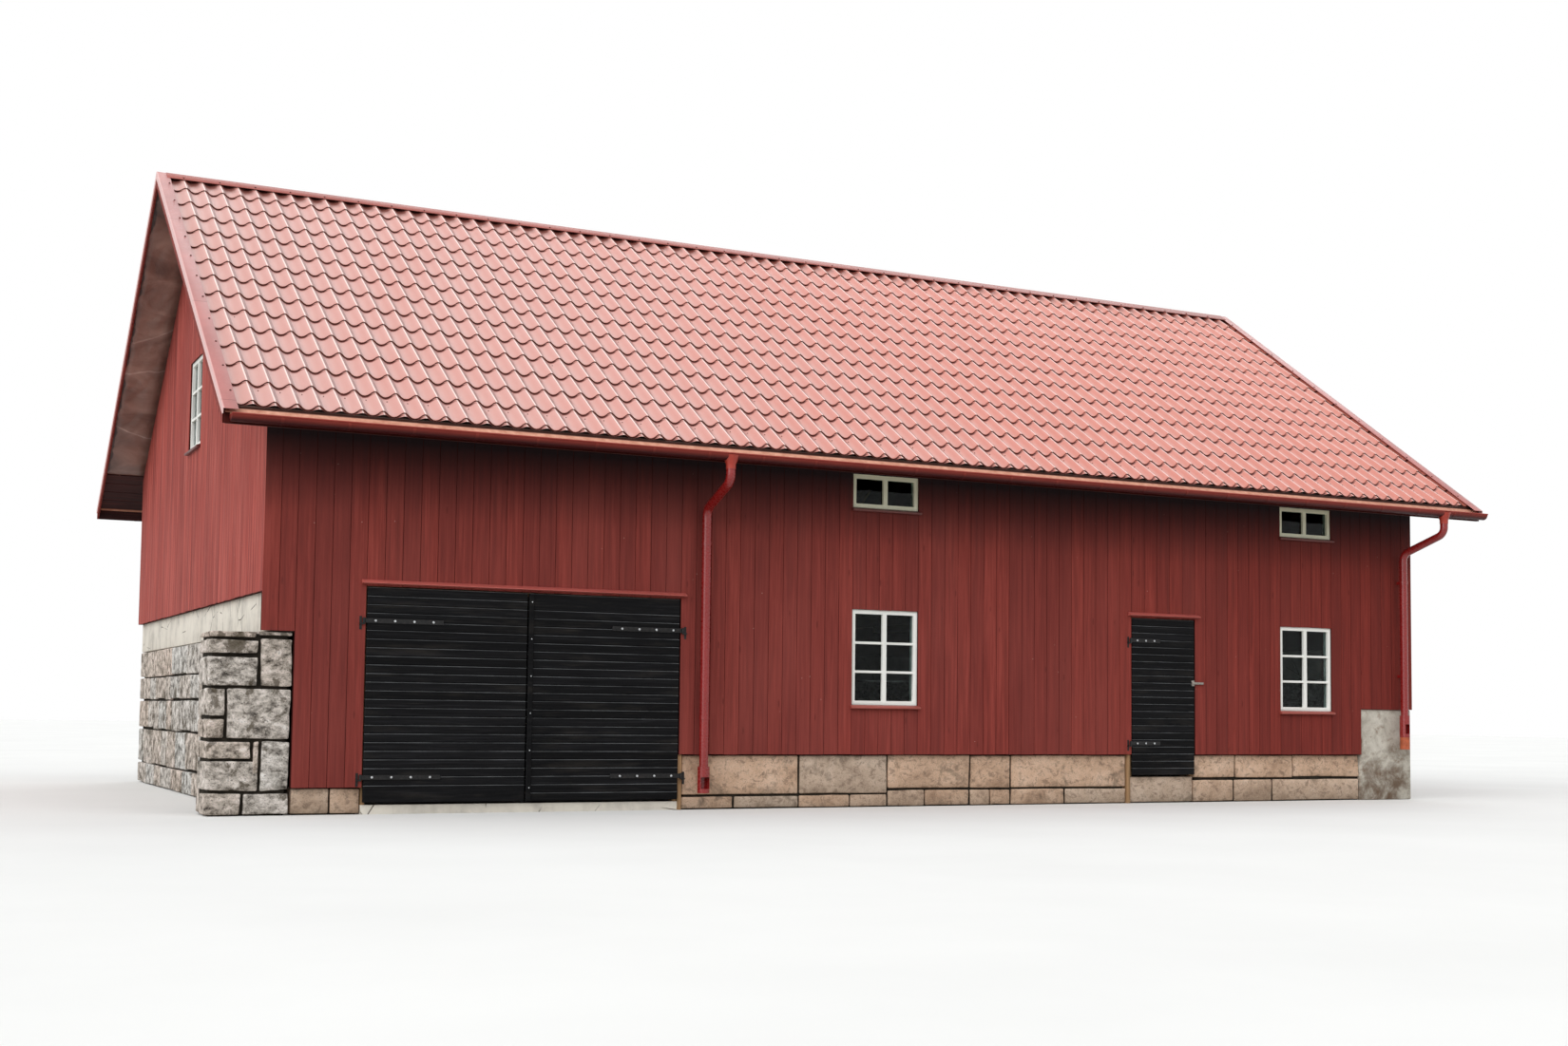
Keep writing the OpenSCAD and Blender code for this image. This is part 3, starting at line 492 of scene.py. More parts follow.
def roof_metal(roof, sky_sheen, sizes):
    """Tile sheets: a painted sky reflection to the left, painted highlights on the crests, painted shade
    beside them, below each step and under the ridge.
    """
    f = Finish("roof_coating", 0.34, coat=0.2, specular=0.4)
    first_crest = LEFT + sizes.wave_start - 60 * sizes.wave
    from_first = f.math("SUBTRACT", f.along("X"), first_crest)
    across = f.math("FRACT", f.math("DIVIDE", from_first, sizes.wave))
    # Paler towards the left: a painted reflection of the sky.
    sheen_to_left = f.range(f.along("X"), LEFT, 0.3 * RIGHT, 0.62, 0)
    uneven = f.range(f.clouds(0.5), 0.3, 0.8, -0.12, 0.12)
    f.colour(f.mix(f.math("ADD", sheen_to_left, uneven, clamp=True), roof, sky_sheen))
    f.over(shade(roof, 0.86), f.clouds(1.0, 4, 0.6, 0.0, (0.9, 0.35, 0.35)), 0.45, 0.7, 0, 0.25)
    f.over(paint(232, 206, 198), f.clouds(40, 4, 0.65), 0.5, 0.8, 0, 0.2)
    # Painted shade on the steep side beside each crest.
    shade_beside_crest = f.ramp(
        across, (0.0, 226, 226, 226), (0.05, 226, 226, 226), (0.07, 132, 94, 90), (0.2, 140, 104, 100),
        (0.24, 206, 204, 204), (0.5, 220, 220, 220), (1.0, 226, 226, 226),
    )
    f.cover(shade_beside_crest, 0.9, "MULTIPLY")
    # Painted highlight along each crest.
    lit = f.range(across, 0.03, 0.045, 0.78, 0), f.range(across, 0.976, 0.988, 0, 0.78)
    f.cover(blend_to(paint(255, 240, 232), roof, 0.1), f.math("ADD", *lit, clamp=True))
    # Painted shade below each step.
    f.over(paint(104, 46, 40), f.own("shade"), 0.05, 0.6, 0, 0.95)
    # Painted shade in the pans just under the ridge cap.
    in_pans = f.math("MULTIPLY", f.range(across, 0.1, 0.2), f.range(across, 0.95, 0.75))
    shade_by_ridge = f.range(f.math("ABSOLUTE", f.along("Y")), 0.13, 0.24, 0.85, 0)
    f.cover(paint(104, 50, 42), f.math("MULTIPLY", shade_by_ridge, in_pans))
    f.rough(f.range(f.clouds(40), 0.3, 0.8, 0.28, 0.5))
    f.bump(f.clouds(9, 2, 0.4), 0.1, 0.004)
    return f


def galvanised():
    """Dull zinc with its crystals."""
    f = Finish("galvanised_steel", 0.45, metallic=0.75)
    f.colour(f.ramp(f.cells(60), (0.1, 112, 106, 100), (0.6, 150, 143, 136)))
    f.bump(f.clouds(80), 0.2, 0.001)
    return f


def door_stain(door):
    """Black stained boards with rubbed places, knots and a painted highlight on the upper rims."""
    f = Finish("black_stained_boards", 0.5, specular=0.06)
    grain = f.clouds(1.0, 7, 0.62, 0.6, (1.4, 40, 40))
    hair = f.clouds(1.0, 3, 0.5, 0.0, (3.5, 190, 190))
    f.colour(f.ramp(grain, (0.3, shade(door, 0.4)), (0.55, door), (0.8, shade(door, 3.0))))
    f.over(shade(door, 0.3), f.own("tone"), 0, 1, 0, 0.75)
    f.over(paint(62, 58, 54), f.clouds(1.0, 5, 0.6, 0.0, (1.2, 7, 7)), 0.55, 0.8, 0, 0.5)
    f.over(paint(80, 76, 72), hair, 0.6, 0.8, 0, 0.35)
    f.over(paint(10, 10, 10), f.cells(1.0, (3.0, 16, 16)), 0.04, 0.09, 0.6, 0)
    # Painted highlight on the upward-facing rims of the boards.
    rim_highlight = f.math("MULTIPLY", f.own("rim"), f.range(f.clouds(3), 0.35, 0.65, 0.3, 0.95))
    f.cover(paint(104, 106, 108), rim_highlight)
    f.rough(f.range(grain, 0.25, 0.75, 0.4, 0.66))
    f.bump(grain, 0.5, 0.003)
    f.bump(hair, 0.4, 0.0012)
    return f


def window_paint(white):
    """Brushed white paint, with a painted yellow tint of the light under the eaves on the front's upper
    windows.
    """
    f = Finish("white_window_paint", 0.42)
    # Painted yellow tint of the light under the eaves on the front's upper windows.
    high_up = f.range(f.along("Z"), DOOR_TOP, DOOR_TOP + 0.6)
    on_front = f.range(f.along("X"), LEFT + 0.1, LEFT + 0.3)
    f.colour(f.mix(f.math("MULTIPLY", high_up, on_front), white, paint(255, 255, 228)))
    f.over(paint(206, 200, 176), f.clouds(16, 6, 0.6), 0.6, 0.85, 0, 0.3)
    f.bump(f.clouds(1.0, 3, 0.5, 0.0, (120, 120, 8)), 0.25, 0.001)
    return f


def window_panes():
    """Clear panes that aren't quite flat."""
    f = Finish("window_panes", 0.03, specular=0.3)
    f.shader.inputs["Transmission Weight"].default_value = 1.0
    f.shader.inputs["IOR"].default_value = 1.2
    f.colour(f.ramp(f.clouds(3), (0.3, 150, 166, 164), (0.8, 186, 200, 198)))
    f.rough(f.range(f.clouds(5), 0.4, 0.8, 0.02, 0.07))
    f.bump(f.clouds(3.5, 1, 0.3), 0.12, 0.01)
    return f


def split_granite(granite):
    """Rough split granite, warm or grey, with mica, pale grains and lichen."""
    f = Finish("split_granite", 0.85, specular=0.3)
    mottle = f.clouds(8, 9, 0.74, 0.2, (1, 1, 1.5))
    warm = f.ramp(
        mottle, (0.36, 72, 58, 50), (0.44, shade(granite, 0.8)), (0.51, shade(granite, 1.15)),
        (0.58, 232, 202, 186), (0.67, 242, 232, 224),
    )
    grey = f.ramp(
        mottle, (0.36, 64, 62, 58), (0.44, 150, 147, 142), (0.52, 208, 205, 200), (0.62, 246, 244, 240)
    )
    f.colour(f.mix(f.range(f.own("tone"), 0, 0.9, 0.35, 1), warm, grey))
    f.over(paint(62, 58, 56), f.clouds(85, 3, 0.6), 0.56, 0.68, 0, 0.7)
    f.over(paint(214, 204, 192), f.cells(38), 0.08, 0.22, 0.5, 0)
    f.over(paint(82, 72, 56), f.clouds(5.5, 9, 0.7, 0.4), 0.54, 0.6, 0, 0.8)
    f.bump(f.clouds(4, 8, 0.66, 0.7, (1, 1, 1.5)), 0.9, 0.03)
    f.bump(mottle, 0.8, 0.014)
    return f


def dressed_granite():
    """Flatter warm granite of the plinth, darker towards its foot."""
    f = Finish("dressed_granite", 0.85, specular=0.25)
    body = f.clouds(3.2, 8, 0.66, 0.4)
    f.colour(f.ramp(body, (0.28, 170, 138, 114), (0.5, 216, 182, 155), (0.75, 238, 208, 184)))
    grey = f.ramp(body, (0.3, 160, 150, 136), (0.7, 214, 204, 190))
    f.over(grey, f.own("tone"), 0.3, 0.9, 0, 0.5)
    f.over(paint(96, 84, 76), f.clouds(85, 3, 0.6), 0.56, 0.68, 0, 0.5)
    f.over(paint(232, 216, 200), f.cells(38), 0.08, 0.22, 0.45, 0)
    f.over(paint(118, 96, 82), f.clouds(13, 10, 0.76, 0.6, (1, 1, 1.3)), 0.51, 0.6, 0, 0.6)
    # Darker towards the foot.
    f.over(paint(104, 92, 78), f.along("Z"), 0, 0.22, 0.35, 0)
    f.over(paint(112, 98, 84), f.clouds(4.5, 9, 0.7, 0.4), 0.56, 0.66, 0, 0.6)
    f.bump(body, 0.7, 0.02)
    f.bump(f.clouds(26, 6, 0.65), 0.6, 0.01)
    return f


def cast_block():
    """Cast concrete with rusty stains, most of them low down."""
    f = Finish("cast_block", 0.92, specular=0.2)
    body = f.clouds(4, 9, 0.7, 0.3)
    f.colour(f.ramp(body, (0.3, 150, 142, 130), (0.5, 198, 192, 180), (0.7, 222, 217, 206)))
    f.over(paint(128, 100, 78), f.clouds(7, 8, 0.7), 0.54, 0.66, 0, 0.7)
    low_down = f.range(f.along("Z"), 0.25, 0.95, 1, 0.1)
    stained = f.math("MULTIPLY", low_down, f.range(body, 0.35, 0.6, 0.9, 0))
    f.cover(paint(112, 88, 70), f.math("MINIMUM", stained, 0.8))
    f.bump(f.clouds(30, 8, 0.7), 0.9, 0.014)
    return f


def cracked_render(concrete):
    """Pale render with stains that run down and fine cracks in places."""
    f = Finish("cracked_render", 0.9, specular=0.2)
    body = f.clouds(3, 7, 0.6, 0.3)
    f.colour(f.ramp(body, (0.3, shade(concrete, 0.7)), (0.5, concrete), (0.8, 246, 240, 228)))
    f.over(paint(172, 162, 148), f.clouds(1.0, 5, 0.6, 0.0, (9, 9, 1.4)), 0.52, 0.8, 0, 0.3)
    crack = f.range(f.cells(2.3, (1, 1, 1.2), "DISTANCE_TO_EDGE"), 0.004, 0.014, 1, 0)
    lines = f.math("MULTIPLY", crack, f.range(f.clouds(2.4), 0.5, 0.58))
    f.cover(paint(72, 62, 52), lines)
    f.bump(f.math("SUBTRACT", f.clouds(34, 6, 0.6), lines), 0.5, 0.008)
    return f


def sagging_membrane():
    """Brown membrane with painted light on its creases, and painted shade against the gable and along its
    uneven hem.
    """
    f = Finish("sagging_membrane", 0.34, specular=0.5)
    folds = f.clouds(2.2, 4, 0.5, 0.5, (1, 1.6, 1))
    f.colour(f.ramp(folds, (0.3, 112, 88, 80), (0.5, 152, 124, 114), (0.72, 190, 162, 150)))
    across = f.math("ABSOLUTE", f.along("X"))
    wavy = f.math("MULTIPLY", f.clouds(3, 2, 0.5), 0.12)
    down = f.math("ADD", f.math("ABSOLUTE", f.along("Y")), wavy)
    light = 0.0
    for at, tilt in ((2.06, 0.51), (2.46, 0.18), (3.2, -0.3)):
        lean = f.math("MULTIPLY", f.math("SUBTRACT", across, SHEET_X1), -tilt)
        off = f.math("ABSOLUTE", f.math("SUBTRACT", f.math("ADD", down, lean), at))
        line = f.math("MAXIMUM", f.range(off, 0.004, 0.02, 0.75, 0), f.range(off, 0, 0.09, 0.22, 0))
        broken = f.math("MULTIPLY", line, f.range(f.clouds(5), 0.35, 0.65, 0.3, 1))
        light = f.math("MAXIMUM", broken, light)
    f.cover(paint(236, 224, 216), light)
    # Painted shade against the gable.
    f.over(paint(46, 36, 32), across, -LEFT - 0.02, -LEFT + 0.13, 0.75, 0)
    # Painted shade along the uneven hem.
    hem = f.math("ADD", across, f.math("MULTIPLY", f.clouds(4, 2, 0.5), 0.12))
    f.over(paint(40, 28, 26), hem, SHEET_X1 + 0.03, SHEET_X1 + 0.045, 0, 0.8)
    f.bump(folds, 0.6, 0.03)
    f.bump(light, 0.4, 0.01)
    return f


def make_finishes(colours, sizes):
    """All the materials, by name."""
    wall, roof, gutter, wood = (
        tuple(getattr(colours, name)) for name in ("wall", "roof", "gutter", "wood")
    )
    eave_z = on_slope(-FRONT, MEMBRANE_D)
    bare = {"roughness": 0.8, "contrast": 1.2, "worn": 0.1}
    stain = shade(gutter, 0.35)
    made = {
        "wall": painted_boards("red_painted_boards", wall, eave_shade=(eave_z - 1.12, eave_z - 0.44)),
        "gable": painted_boards("red_gable_boards", shade(wall, 1.42), contrast=1.2, worn=0.6, streaks=0.85),
        "trim": painted_boards("shaded_dark_red_trim", tuple(colours.trim), upright=False, roughness=0.7),
        "barge": painted_boards("red_barge_boards", shade(wall, 0.85), upright=False),
        "wood": painted_boards("bare_boards", wood, upright=False, **bare),
        "post": painted_boards("bare_posts", wood, **bare),
        "roof": roof_metal(roof, tuple(colours.sky_sheen), sizes),
        "cap": coated_metal("ridge_coating", paint(160, 76, 66), 0.4, 0.3, 0.1, 0.14),
        "verge": verge_metal(),
        "drip": drip_metal(),
        "flashing": coated_metal("red_flashing", paint(184, 90, 82), 0.42, 0.2, 0.15, 0.1),
        "sill": sill_metal(),
        "gutter": rolled_metal("gutter_coating", stain, paint(58, 18, 20), paint(158, 62, 52)),
        "hook": rolled_metal("hook_coating", stain, paint(66, 22, 22), paint(176, 74, 62)),
        "outlet": coated_metal("outlet_coating", paint(176, 60, 46), 0.4, 0.1, 0.1, 0.12, 0.4),
        "pipe": coated_metal("pipe_coating", gutter, 0.26, 0.06, 0.25, 0.12, ripple=0.02),
        "zinc": galvanised(),
        "door": door_stain(tuple(colours.door)),
        "white": window_paint(tuple(colours.white)),
        "glass": window_panes(),
        "granite": split_granite(tuple(colours.granite)),
        "dressed": dressed_granite(),
        "cast": cast_block(),
        "concrete": cracked_render(tuple(colours.concrete)),
        "membrane": sagging_membrane(),
    }
    for key, name, spots, stops, grain, strength, depth, shine in (
        # Dark finish in the gaps between the wall boards, also painted shade on the outer faces of the fascia
        # and barge boards at the eaves.
        ("joints", "board_joints_and_end_shade", (14,), ((0.3, shade(wall, 0.16)), (0.8, shade(wall, 0.32))),
         (60,), 0.3, 0.004, {"roughness": 0.95, "specular": 0.1}),
        # Dark finish of the tile steps, a painted shade there, also worn by the dark roof screws.
        ("riser_shade_and_screws", "roof_riser_shade_and_screws", (30, 5, 0.6), ((0.3, 58, 34, 28), (0.7, 104, 56, 44)),
         (60,), 0.2, 0.002, {"roughness": 0.6, "specular": 0.2}),
        ("iron", "forged_iron", (30, 5, 0.65), ((0.4, 16, 16, 17), (0.62, 34, 32, 32), (0.78, 66, 46, 38)),
         (70,), 0.35, 0.002, {"roughness": 0.42, "metallic": 0.5}),
        ("bolts", "bright_bolts", (90,), ((0.3, 150, 152, 154), (0.7, 214, 216, 218)),
         (160,), 0.2, 0.001, {"roughness": 0.32, "metallic": 0.9}),
        # Near-black rubble behind the stones, a painted shade in the gaps between them.
        ("rubble_shade", "rubble_core_shade", (12, 7, 0.65), ((0.3, 26, 24, 21), (0.8, 70, 64, 56)),
         (20, 6, 0.6), 0.8, 0.03, {"roughness": 0.95, "specular": 0.1}),
        ("clay", "clay_plastic", (18, 5, 0.6), ((0.3, 150, 70, 40), (0.7, 196, 100, 62)),
         (60,), 0.3, 0.002, {"roughness": 0.6}),
    ):
        made[key] = plain_finish(name, spots, stops, grain, strength, depth, **shine)
    return made


FINISHES = {}


def wear(obj, finish):
    """Puts one finish on a piece."""
    obj.data.materials.clear()
    obj.data.materials.append(FINISHES[finish].material)


def settle(obj, finish, body="building", stands_for=(), second=None):
    """Gives a finished piece its material, body and the nodes that it stands for."""
    kinds = np.zeros(len(obj.data.polygons), np.int32)
    obj.data.polygons.foreach_get("material_index", kinds)
    wear(obj, finish)
    if second:
        obj.data.materials.append(FINISHES[second].material)
        obj.data.polygons.foreach_set("material_index", kinds)
    if stands_for:
        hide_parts(*stands_for)
    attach(obj, body)


# Modelling


def nothing_chosen():
    """Leaves edit mode with nothing selected."""
    if bpy.context.mode != "OBJECT":
        bpy.ops.object.mode_set(mode="OBJECT")
    bpy.ops.object.select_all(action="DESELECT")


def choose(obj):
    """Selects one piece and nothing else."""
    nothing_chosen()
    obj.select_set(True)
    bpy.context.view_layer.objects.active = obj


def edit(obj):
    """Opens a piece in edit mode with all of it selected."""
    choose(obj)
    bpy.ops.object.mode_set(mode="EDIT")
    bpy.ops.mesh.select_all(action="SELECT")


def leave_edit():
    bpy.ops.object.mode_set(mode="OBJECT")


def apply_place(obj):
    """Moves a piece's place into its mesh."""
    choose(obj)
    bpy.ops.object.transform_apply(location=True, rotation=True, scale=True)


def link_new(name, mesh):
    """A new piece with a mesh."""
    obj = bpy.data.objects.new(name, mesh)
    bpy.context.scene.collection.objects.link(obj)
    return obj


def block(name, low, high, edge, rounds=1, cuts=0):
    """A cuboid between two corners, with its edges taken off and its faces divided."""
    nothing_chosen()
    low, high = Vector(low), Vector(high)
    bpy.ops.mesh.primitive_cube_add(size=1, location=(low + high) / 2, scale=high - low)
    obj = bpy.context.object
    obj.name = name
    apply_place(obj)
    edit(obj)
    bpy.ops.mesh.bevel(offset=edge, segments=rounds, affect="EDGES")
    if cuts:
        bpy.ops.mesh.select_all(action="SELECT")
        bpy.ops.mesh.subdivide(number_cuts=cuts)
    leave_edit()
    return obj


def rod(name, radius, length, sides, edge):
    """An upright round bar about the origin, with its end edges taken off."""
    nothing_chosen()
    bpy.ops.mesh.primitive_cylinder_add(vertices=sides, radius=radius, depth=length)
    obj = bpy.context.object
    obj.name = name
    bpy.ops.object.mode_set(mode="EDIT")
    bpy.ops.mesh.select_all(action="DESELECT")
    bpy.ops.mesh.select_mode(type="FACE")
    leave_edit()
    for face in obj.data.polygons:
        face.select = abs(face.normal.z) > 0.9
    bpy.ops.object.mode_set(mode="EDIT")
    bpy.ops.mesh.region_to_loop()
    bpy.ops.mesh.bevel(offset=edge, segments=2, affect="EDGES")
    leave_edit()
    apply_place(obj)
    return obj


def grid(columns, rows):
    """A flat sheet of 1 by 1 from the origin, divided into columns and rows."""
    nothing_chosen()
    bpy.ops.mesh.primitive_grid_add(
        x_subdivisions=columns, y_subdivisions=rows, size=1, location=(0.5, 0.5, 0)
    )
    obj = bpy.context.object
    apply_place(obj)
    return obj


def smooth(obj, angle):
    """Shades a piece smooth where its faces meet at less than an angle."""
    choose(obj)
    bpy.ops.object.shade_smooth_by_angle(angle=math.radians(angle))
    return obj


def finish_modifier(obj, kind, **settings):
    """Adds a modifier with its settings and applies it."""
    choose(obj)
    modifier = obj.modifiers.new(kind.lower(), kind)
    for key, value in settings.items():
        setattr(modifier, key, value)
    bpy.ops.object.modifier_apply(modifier=modifier.name)


def copy_of_node(node, name):
    """A copy of a node's mesh with its loose triangles joined."""
    nothing_chosen()
    obj = link_new(name, frame["nodes"][node].data.copy())
    choose(obj)
    if obj.data.has_custom_normals:
        bpy.ops.mesh.customdata_custom_splitnormals_clear()
    edit(obj)
    bpy.ops.mesh.remove_doubles(threshold=0.00002)
    leave_edit()
    return obj


def softened(node, name, edge, rounds):
    """A copy of a square-edged node with its edges rounded off."""
    obj = copy_of_node(node, name)
    edit(obj)
    bpy.ops.mesh.dissolve_limited(angle_limit=math.radians(0.5))
    leave_edit()
    finish_modifier(
        obj, "BEVEL", width=edge, segments=rounds, limit_method="ANGLE", angle_limit=math.radians(35),
        use_clamp_overlap=True, harden_normals=False,
    )
    return smooth(obj, 40)


def soften(node, name, edge, rounds, finish, body="building"):
    """Puts a copy with rounded edges in the place of a node."""
    settle(softened(node, name, edge, rounds), finish, body, (node,))


class Batch:
    """Gathers many stretched copies of one modelled block into a single mesh."""

    def __init__(self, model, edge):
        self.model = points_of(model.data)
        self.faces = [tuple(p.vertices) for p in model.data.polygons]
        self.rims = [float(0.3 < p.normal.z < 0.95) for p in model.data.polygons]
        self.edge = edge
        self.points, self.polygons, self.tones, self.count = [], [], [], 0
        bpy.data.objects.remove(model)

    def stretched(self, low, high):
        """The model's points, moved to a box without stretching its rounded edges."""
        low, high = np.array(low, float), np.array(high, float)
        middle, half = (low + high) / 2, (high - low) / 2
        inner = 0.5 - self.edge
        size = np.abs(self.model)
        scaled = size * (half - self.edge) / inner
        kept = half - (0.5 - size)
        return middle + np.sign(self.model) * np.where(size > inner - 1e-6, kept, scaled)

    def add(self, low, high, tone=0.5, change=None):
        """Adds a copy between two corners, with its tone, and changed by a function of its points."""
        points = self.stretched(low, high)
        if change is not None:
            points = change(points)
        self.points.append(points)
        self.polygons += [tuple(i + self.count for i in face) for face in self.faces]
        self.tones += [tone] * len(points)
        self.count += len(points)

    def build(self, name):
        """The mesh of all copies, which carries their tones and marks their upper rims."""
        mesh = bpy.data.meshes.new(name)
        mesh.from_pydata(np.concatenate(self.points).tolist(), [], self.polygons)
        mesh.update()
        for key, kind, values in (
            ("tone", "POINT", self.tones),
            ("rim", "FACE", self.rims * len(self.points)),
        ):
            mesh.attributes.new(key, "FLOAT", kind).data.foreach_set("value", np.array(values, np.float32))
        return link_new(name, mesh)


def cuboids(name, edge, rounds=1, cuts=0):
    """A batch of cuboids with their edges taken off."""
    return Batch(block(name, (-0.5,) * 3, (0.5,) * 3, edge, rounds, cuts), edge)


def heads(sides, edge):
    """A batch of round screw or bolt heads."""
    return Batch(rod("head", 0.5, 1.0, sides, edge), 0.0)


def even_steps(points, width):
    """Places between neighbouring points, spaced as near to a width as they fit."""
    places = []
    ordered = sorted(set(round(p, 5) for p in points))
    for a, b in zip(ordered, ordered[1:]):
        count = max(1, round((b - a) / width))
        places += [a + (b - a) * i / count for i in range(count)]
    return places + [ordered[-1]]


def joined(pieces, name):
    """Joins pieces into one."""
    nothing_chosen()
    for piece in pieces:
        piece.select_set(True)
    bpy.context.view_layer.objects.active = pieces[0]
    bpy.ops.object.join()
    obj = bpy.context.object
    obj.name = name
    return obj


class BarnStep(bpy.types.Operator):
    """One step of the barn."""

    bl_options = {"REGISTER", "UNDO"}

    def execute(self, context):
        sizes = context.scene.barn_sizes
        self.make(sizes, random.Random(sizes.seed * 100 + len(self.bl_idname)))
        nothing_chosen()
        return {"FINISHED"}


class BARN_OT_stage(BarnStep):
    """Camera, lights and a plain pale floor."""

    bl_idname = "barn.stage"
    bl_label = "Stage"

    PLACE = (-9.675, -19.831, 0.918)
    YAW, RISE, ROLL = 0.46524, 0.06326, 0.011344
    IMAGE_WIDTH, IMAGE_HEIGHT = 1650, 1101
    FOCAL_PIXELS, AXIS_ROW = 1933.0, 628.37
    SENSOR = 36
    LAMPS = (
        ("light_left", 1.7, 60, (0.80, 0.34, -0.50)),
        ("light_front", 0.62, 70, (-0.1, 0.72, -0.68)),
        ("light_behind", 0.5, 50, (-0.39, -0.64, -0.66)),
    )

    def shown(self, tree):
        """1 where the camera, a reflection or a pane looks, 0 for light that bounces."""
        path = add_node(tree, "LightPath")
        seen = path.outputs["Is Camera Ray"]
        for ray in ("Is Glossy Ray", "Is Transmission Ray"):
            seen = add_node(tree, "Math", {0: seen, 1: path.outputs[ray]}, operation="MAXIMUM").outputs[0]
        return seen

    def add_camera(self, scene):
        level, rise = math.cos(self.RISE), math.sin(self.RISE)
        ahead = Vector((math.sin(self.YAW) * level, math.cos(self.YAW) * level, rise))
        side = Vector((math.cos(self.YAW), -math.sin(self.YAW), 0.0))
        up = side.cross(ahead)
        right = math.cos(self.ROLL) * side + math.sin(self.ROLL) * up
        top = -math.sin(self.ROLL) * side + math.cos(self.ROLL) * up
        data = bpy.data.cameras.new("camera")
        data.sensor_width = self.SENSOR
        data.lens = self.SENSOR * self.FOCAL_PIXELS / self.IMAGE_WIDTH
        data.shift_y = (self.AXIS_ROW - self.IMAGE_HEIGHT / 2) / self.IMAGE_WIDTH
        data.clip_start, data.clip_end = 0.1, 400
        camera = link_new("camera", data)
        scene.camera = camera
        rows = [(right[i], top[i], -ahead[i], self.PLACE[i]) for i in range(3)]
        camera.matrix_world = Matrix((*rows, (0, 0, 0, 1)))

    def add_floor(self):
        nothing_chosen()
        bpy.ops.mesh.primitive_plane_add(size=160, location=(0, 20, -0.0005))
        floor = bpy.context.object
        floor.name = "floor"
        apply_place(floor)
        f = plain_finish(
            "pale_floor", (0.4,), ((0.3, 234, 234, 232), (0.7, 239, 239, 237)), (4,), 0.03, 0.01,
            roughness=0.9, specular=0.1,
        )
        quiet = f.node("BsdfDiffuse", {"Color": (0.44, 0.42, 0.38)})
        both = f.node("MixShader", {0: self.shown(f.tree), 1: quiet.outputs[0], 2: f.shader.outputs[0]})
        connect(f.tree, f.out.inputs[0], both.outputs[0])
        floor.data.materials.append(f.material)

    def add_world(self, scene):
        """Soft light that is brighter from above, behind a white background."""
        world = bpy.data.worlds.new("studio")
        scene.world = world
        world.use_nodes = True
        tree = world.node_tree
        tree.nodes.clear()
        direction = add_node(tree, "TexCoord").outputs["Generated"]
        height = add_node(tree, "SeparateXYZ", {0: direction}).outputs["Z"]
        ends = {"Value": height, "From Min": 0.0, "From Max": 0.9, "To Min": 0.26, "To Max": 0.8}
        strength = add_node(tree, "MapRange", ends).outputs["Result"]
        soft = add_node(tree, "Background", {"Color": (0.97, 0.985, 1.0), "Strength": strength})
        pale = add_node(tree, "Background", {"Color": (1, 1, 1), "Strength": 1.0})
        both = add_node(tree, "MixShader", {0: self.shown(tree), 1: soft.outputs[0], 2: pale.outputs[0]})
        add_node(tree, "OutputWorld", {0: both.outputs[0]})

    def make(self, sizes, chance):
        scene = bpy.context.scene
        scene.view_settings.view_transform = "Standard"
        self.add_camera(scene)
        self.add_floor()
        self.add_world(scene)
        for name, energy, spread, aim in self.LAMPS:
            lamp = bpy.data.lights.new(name, "SUN")
            lamp.energy = energy
            lamp.angle = math.radians(spread)
            link_new(name, lamp).rotation_euler = Vector(aim).to_track_quat("-Z", "Y").to_euler()


class BARN_OT_finishes(BarnStep):
    """Finishes on every node of the frame."""

    bl_idname = "barn.finishes"
    bl_label = "Finishes"

    WORN = {
        "joints": (
            "front_wall_left", "front_wall_over_doors", "front_wall_middle", "front_wall_right",
            "left_gable_wall", "right_gable_wall", "back_wall",
        ),
        "granite": ("plinth_front", "foundation_left", "foundation_right", "foundation_back", "door_step"),
        "concrete": ("corner_block", "concrete_band", "ground_floor"),
        "wood": ("loft_floor", "floor_beams", "rafters"),
        "post": ("door_frames",),
        "roof": ("roof_front", "roof_back", "ridge_cap"),
        "verge": ("verge_flashings",),
        "membrane": ("roof_membrane",),
        "trim": ("eave_boards", "fascia_boards"),
        "barge": ("barge_boards",),
        "drip": ("drip_edges",),
        "gutter": ("gutters",),
        "hook": ("gutter_hooks",),
        "outlet": ("gutter_outlets",),
        "pipe": ("downpipes", "pipe_clamps", "pipe_shoes"),
        "clay": ("drain_collar",),
        "iron": ("hinge_pintles", "straps_left_leaf", "straps_right_leaf", "straps_small_door"),
        "door": ("big_door_left", "big_door_right", "small_door"),
        "zinc": ("door_latch",),
        "white": ("window_frames",),
        "glass": ("window_glass",),
        "sill": ("window_sills",),
        "flashing": ("drip_flashings",),
    }

    def make(self, sizes, chance):
        FINISHES.update(make_finishes(bpy.context.scene.barn_colours, sizes))
        left = set(frame["nodes"])
        for finish, nodes in self.WORN.items():
            for node in nodes:
                wear(frame["nodes"][node], finish)
                left.discard(node)
        if left:
            raise RuntimeError("no finish for " + ", ".join(sorted(left)))


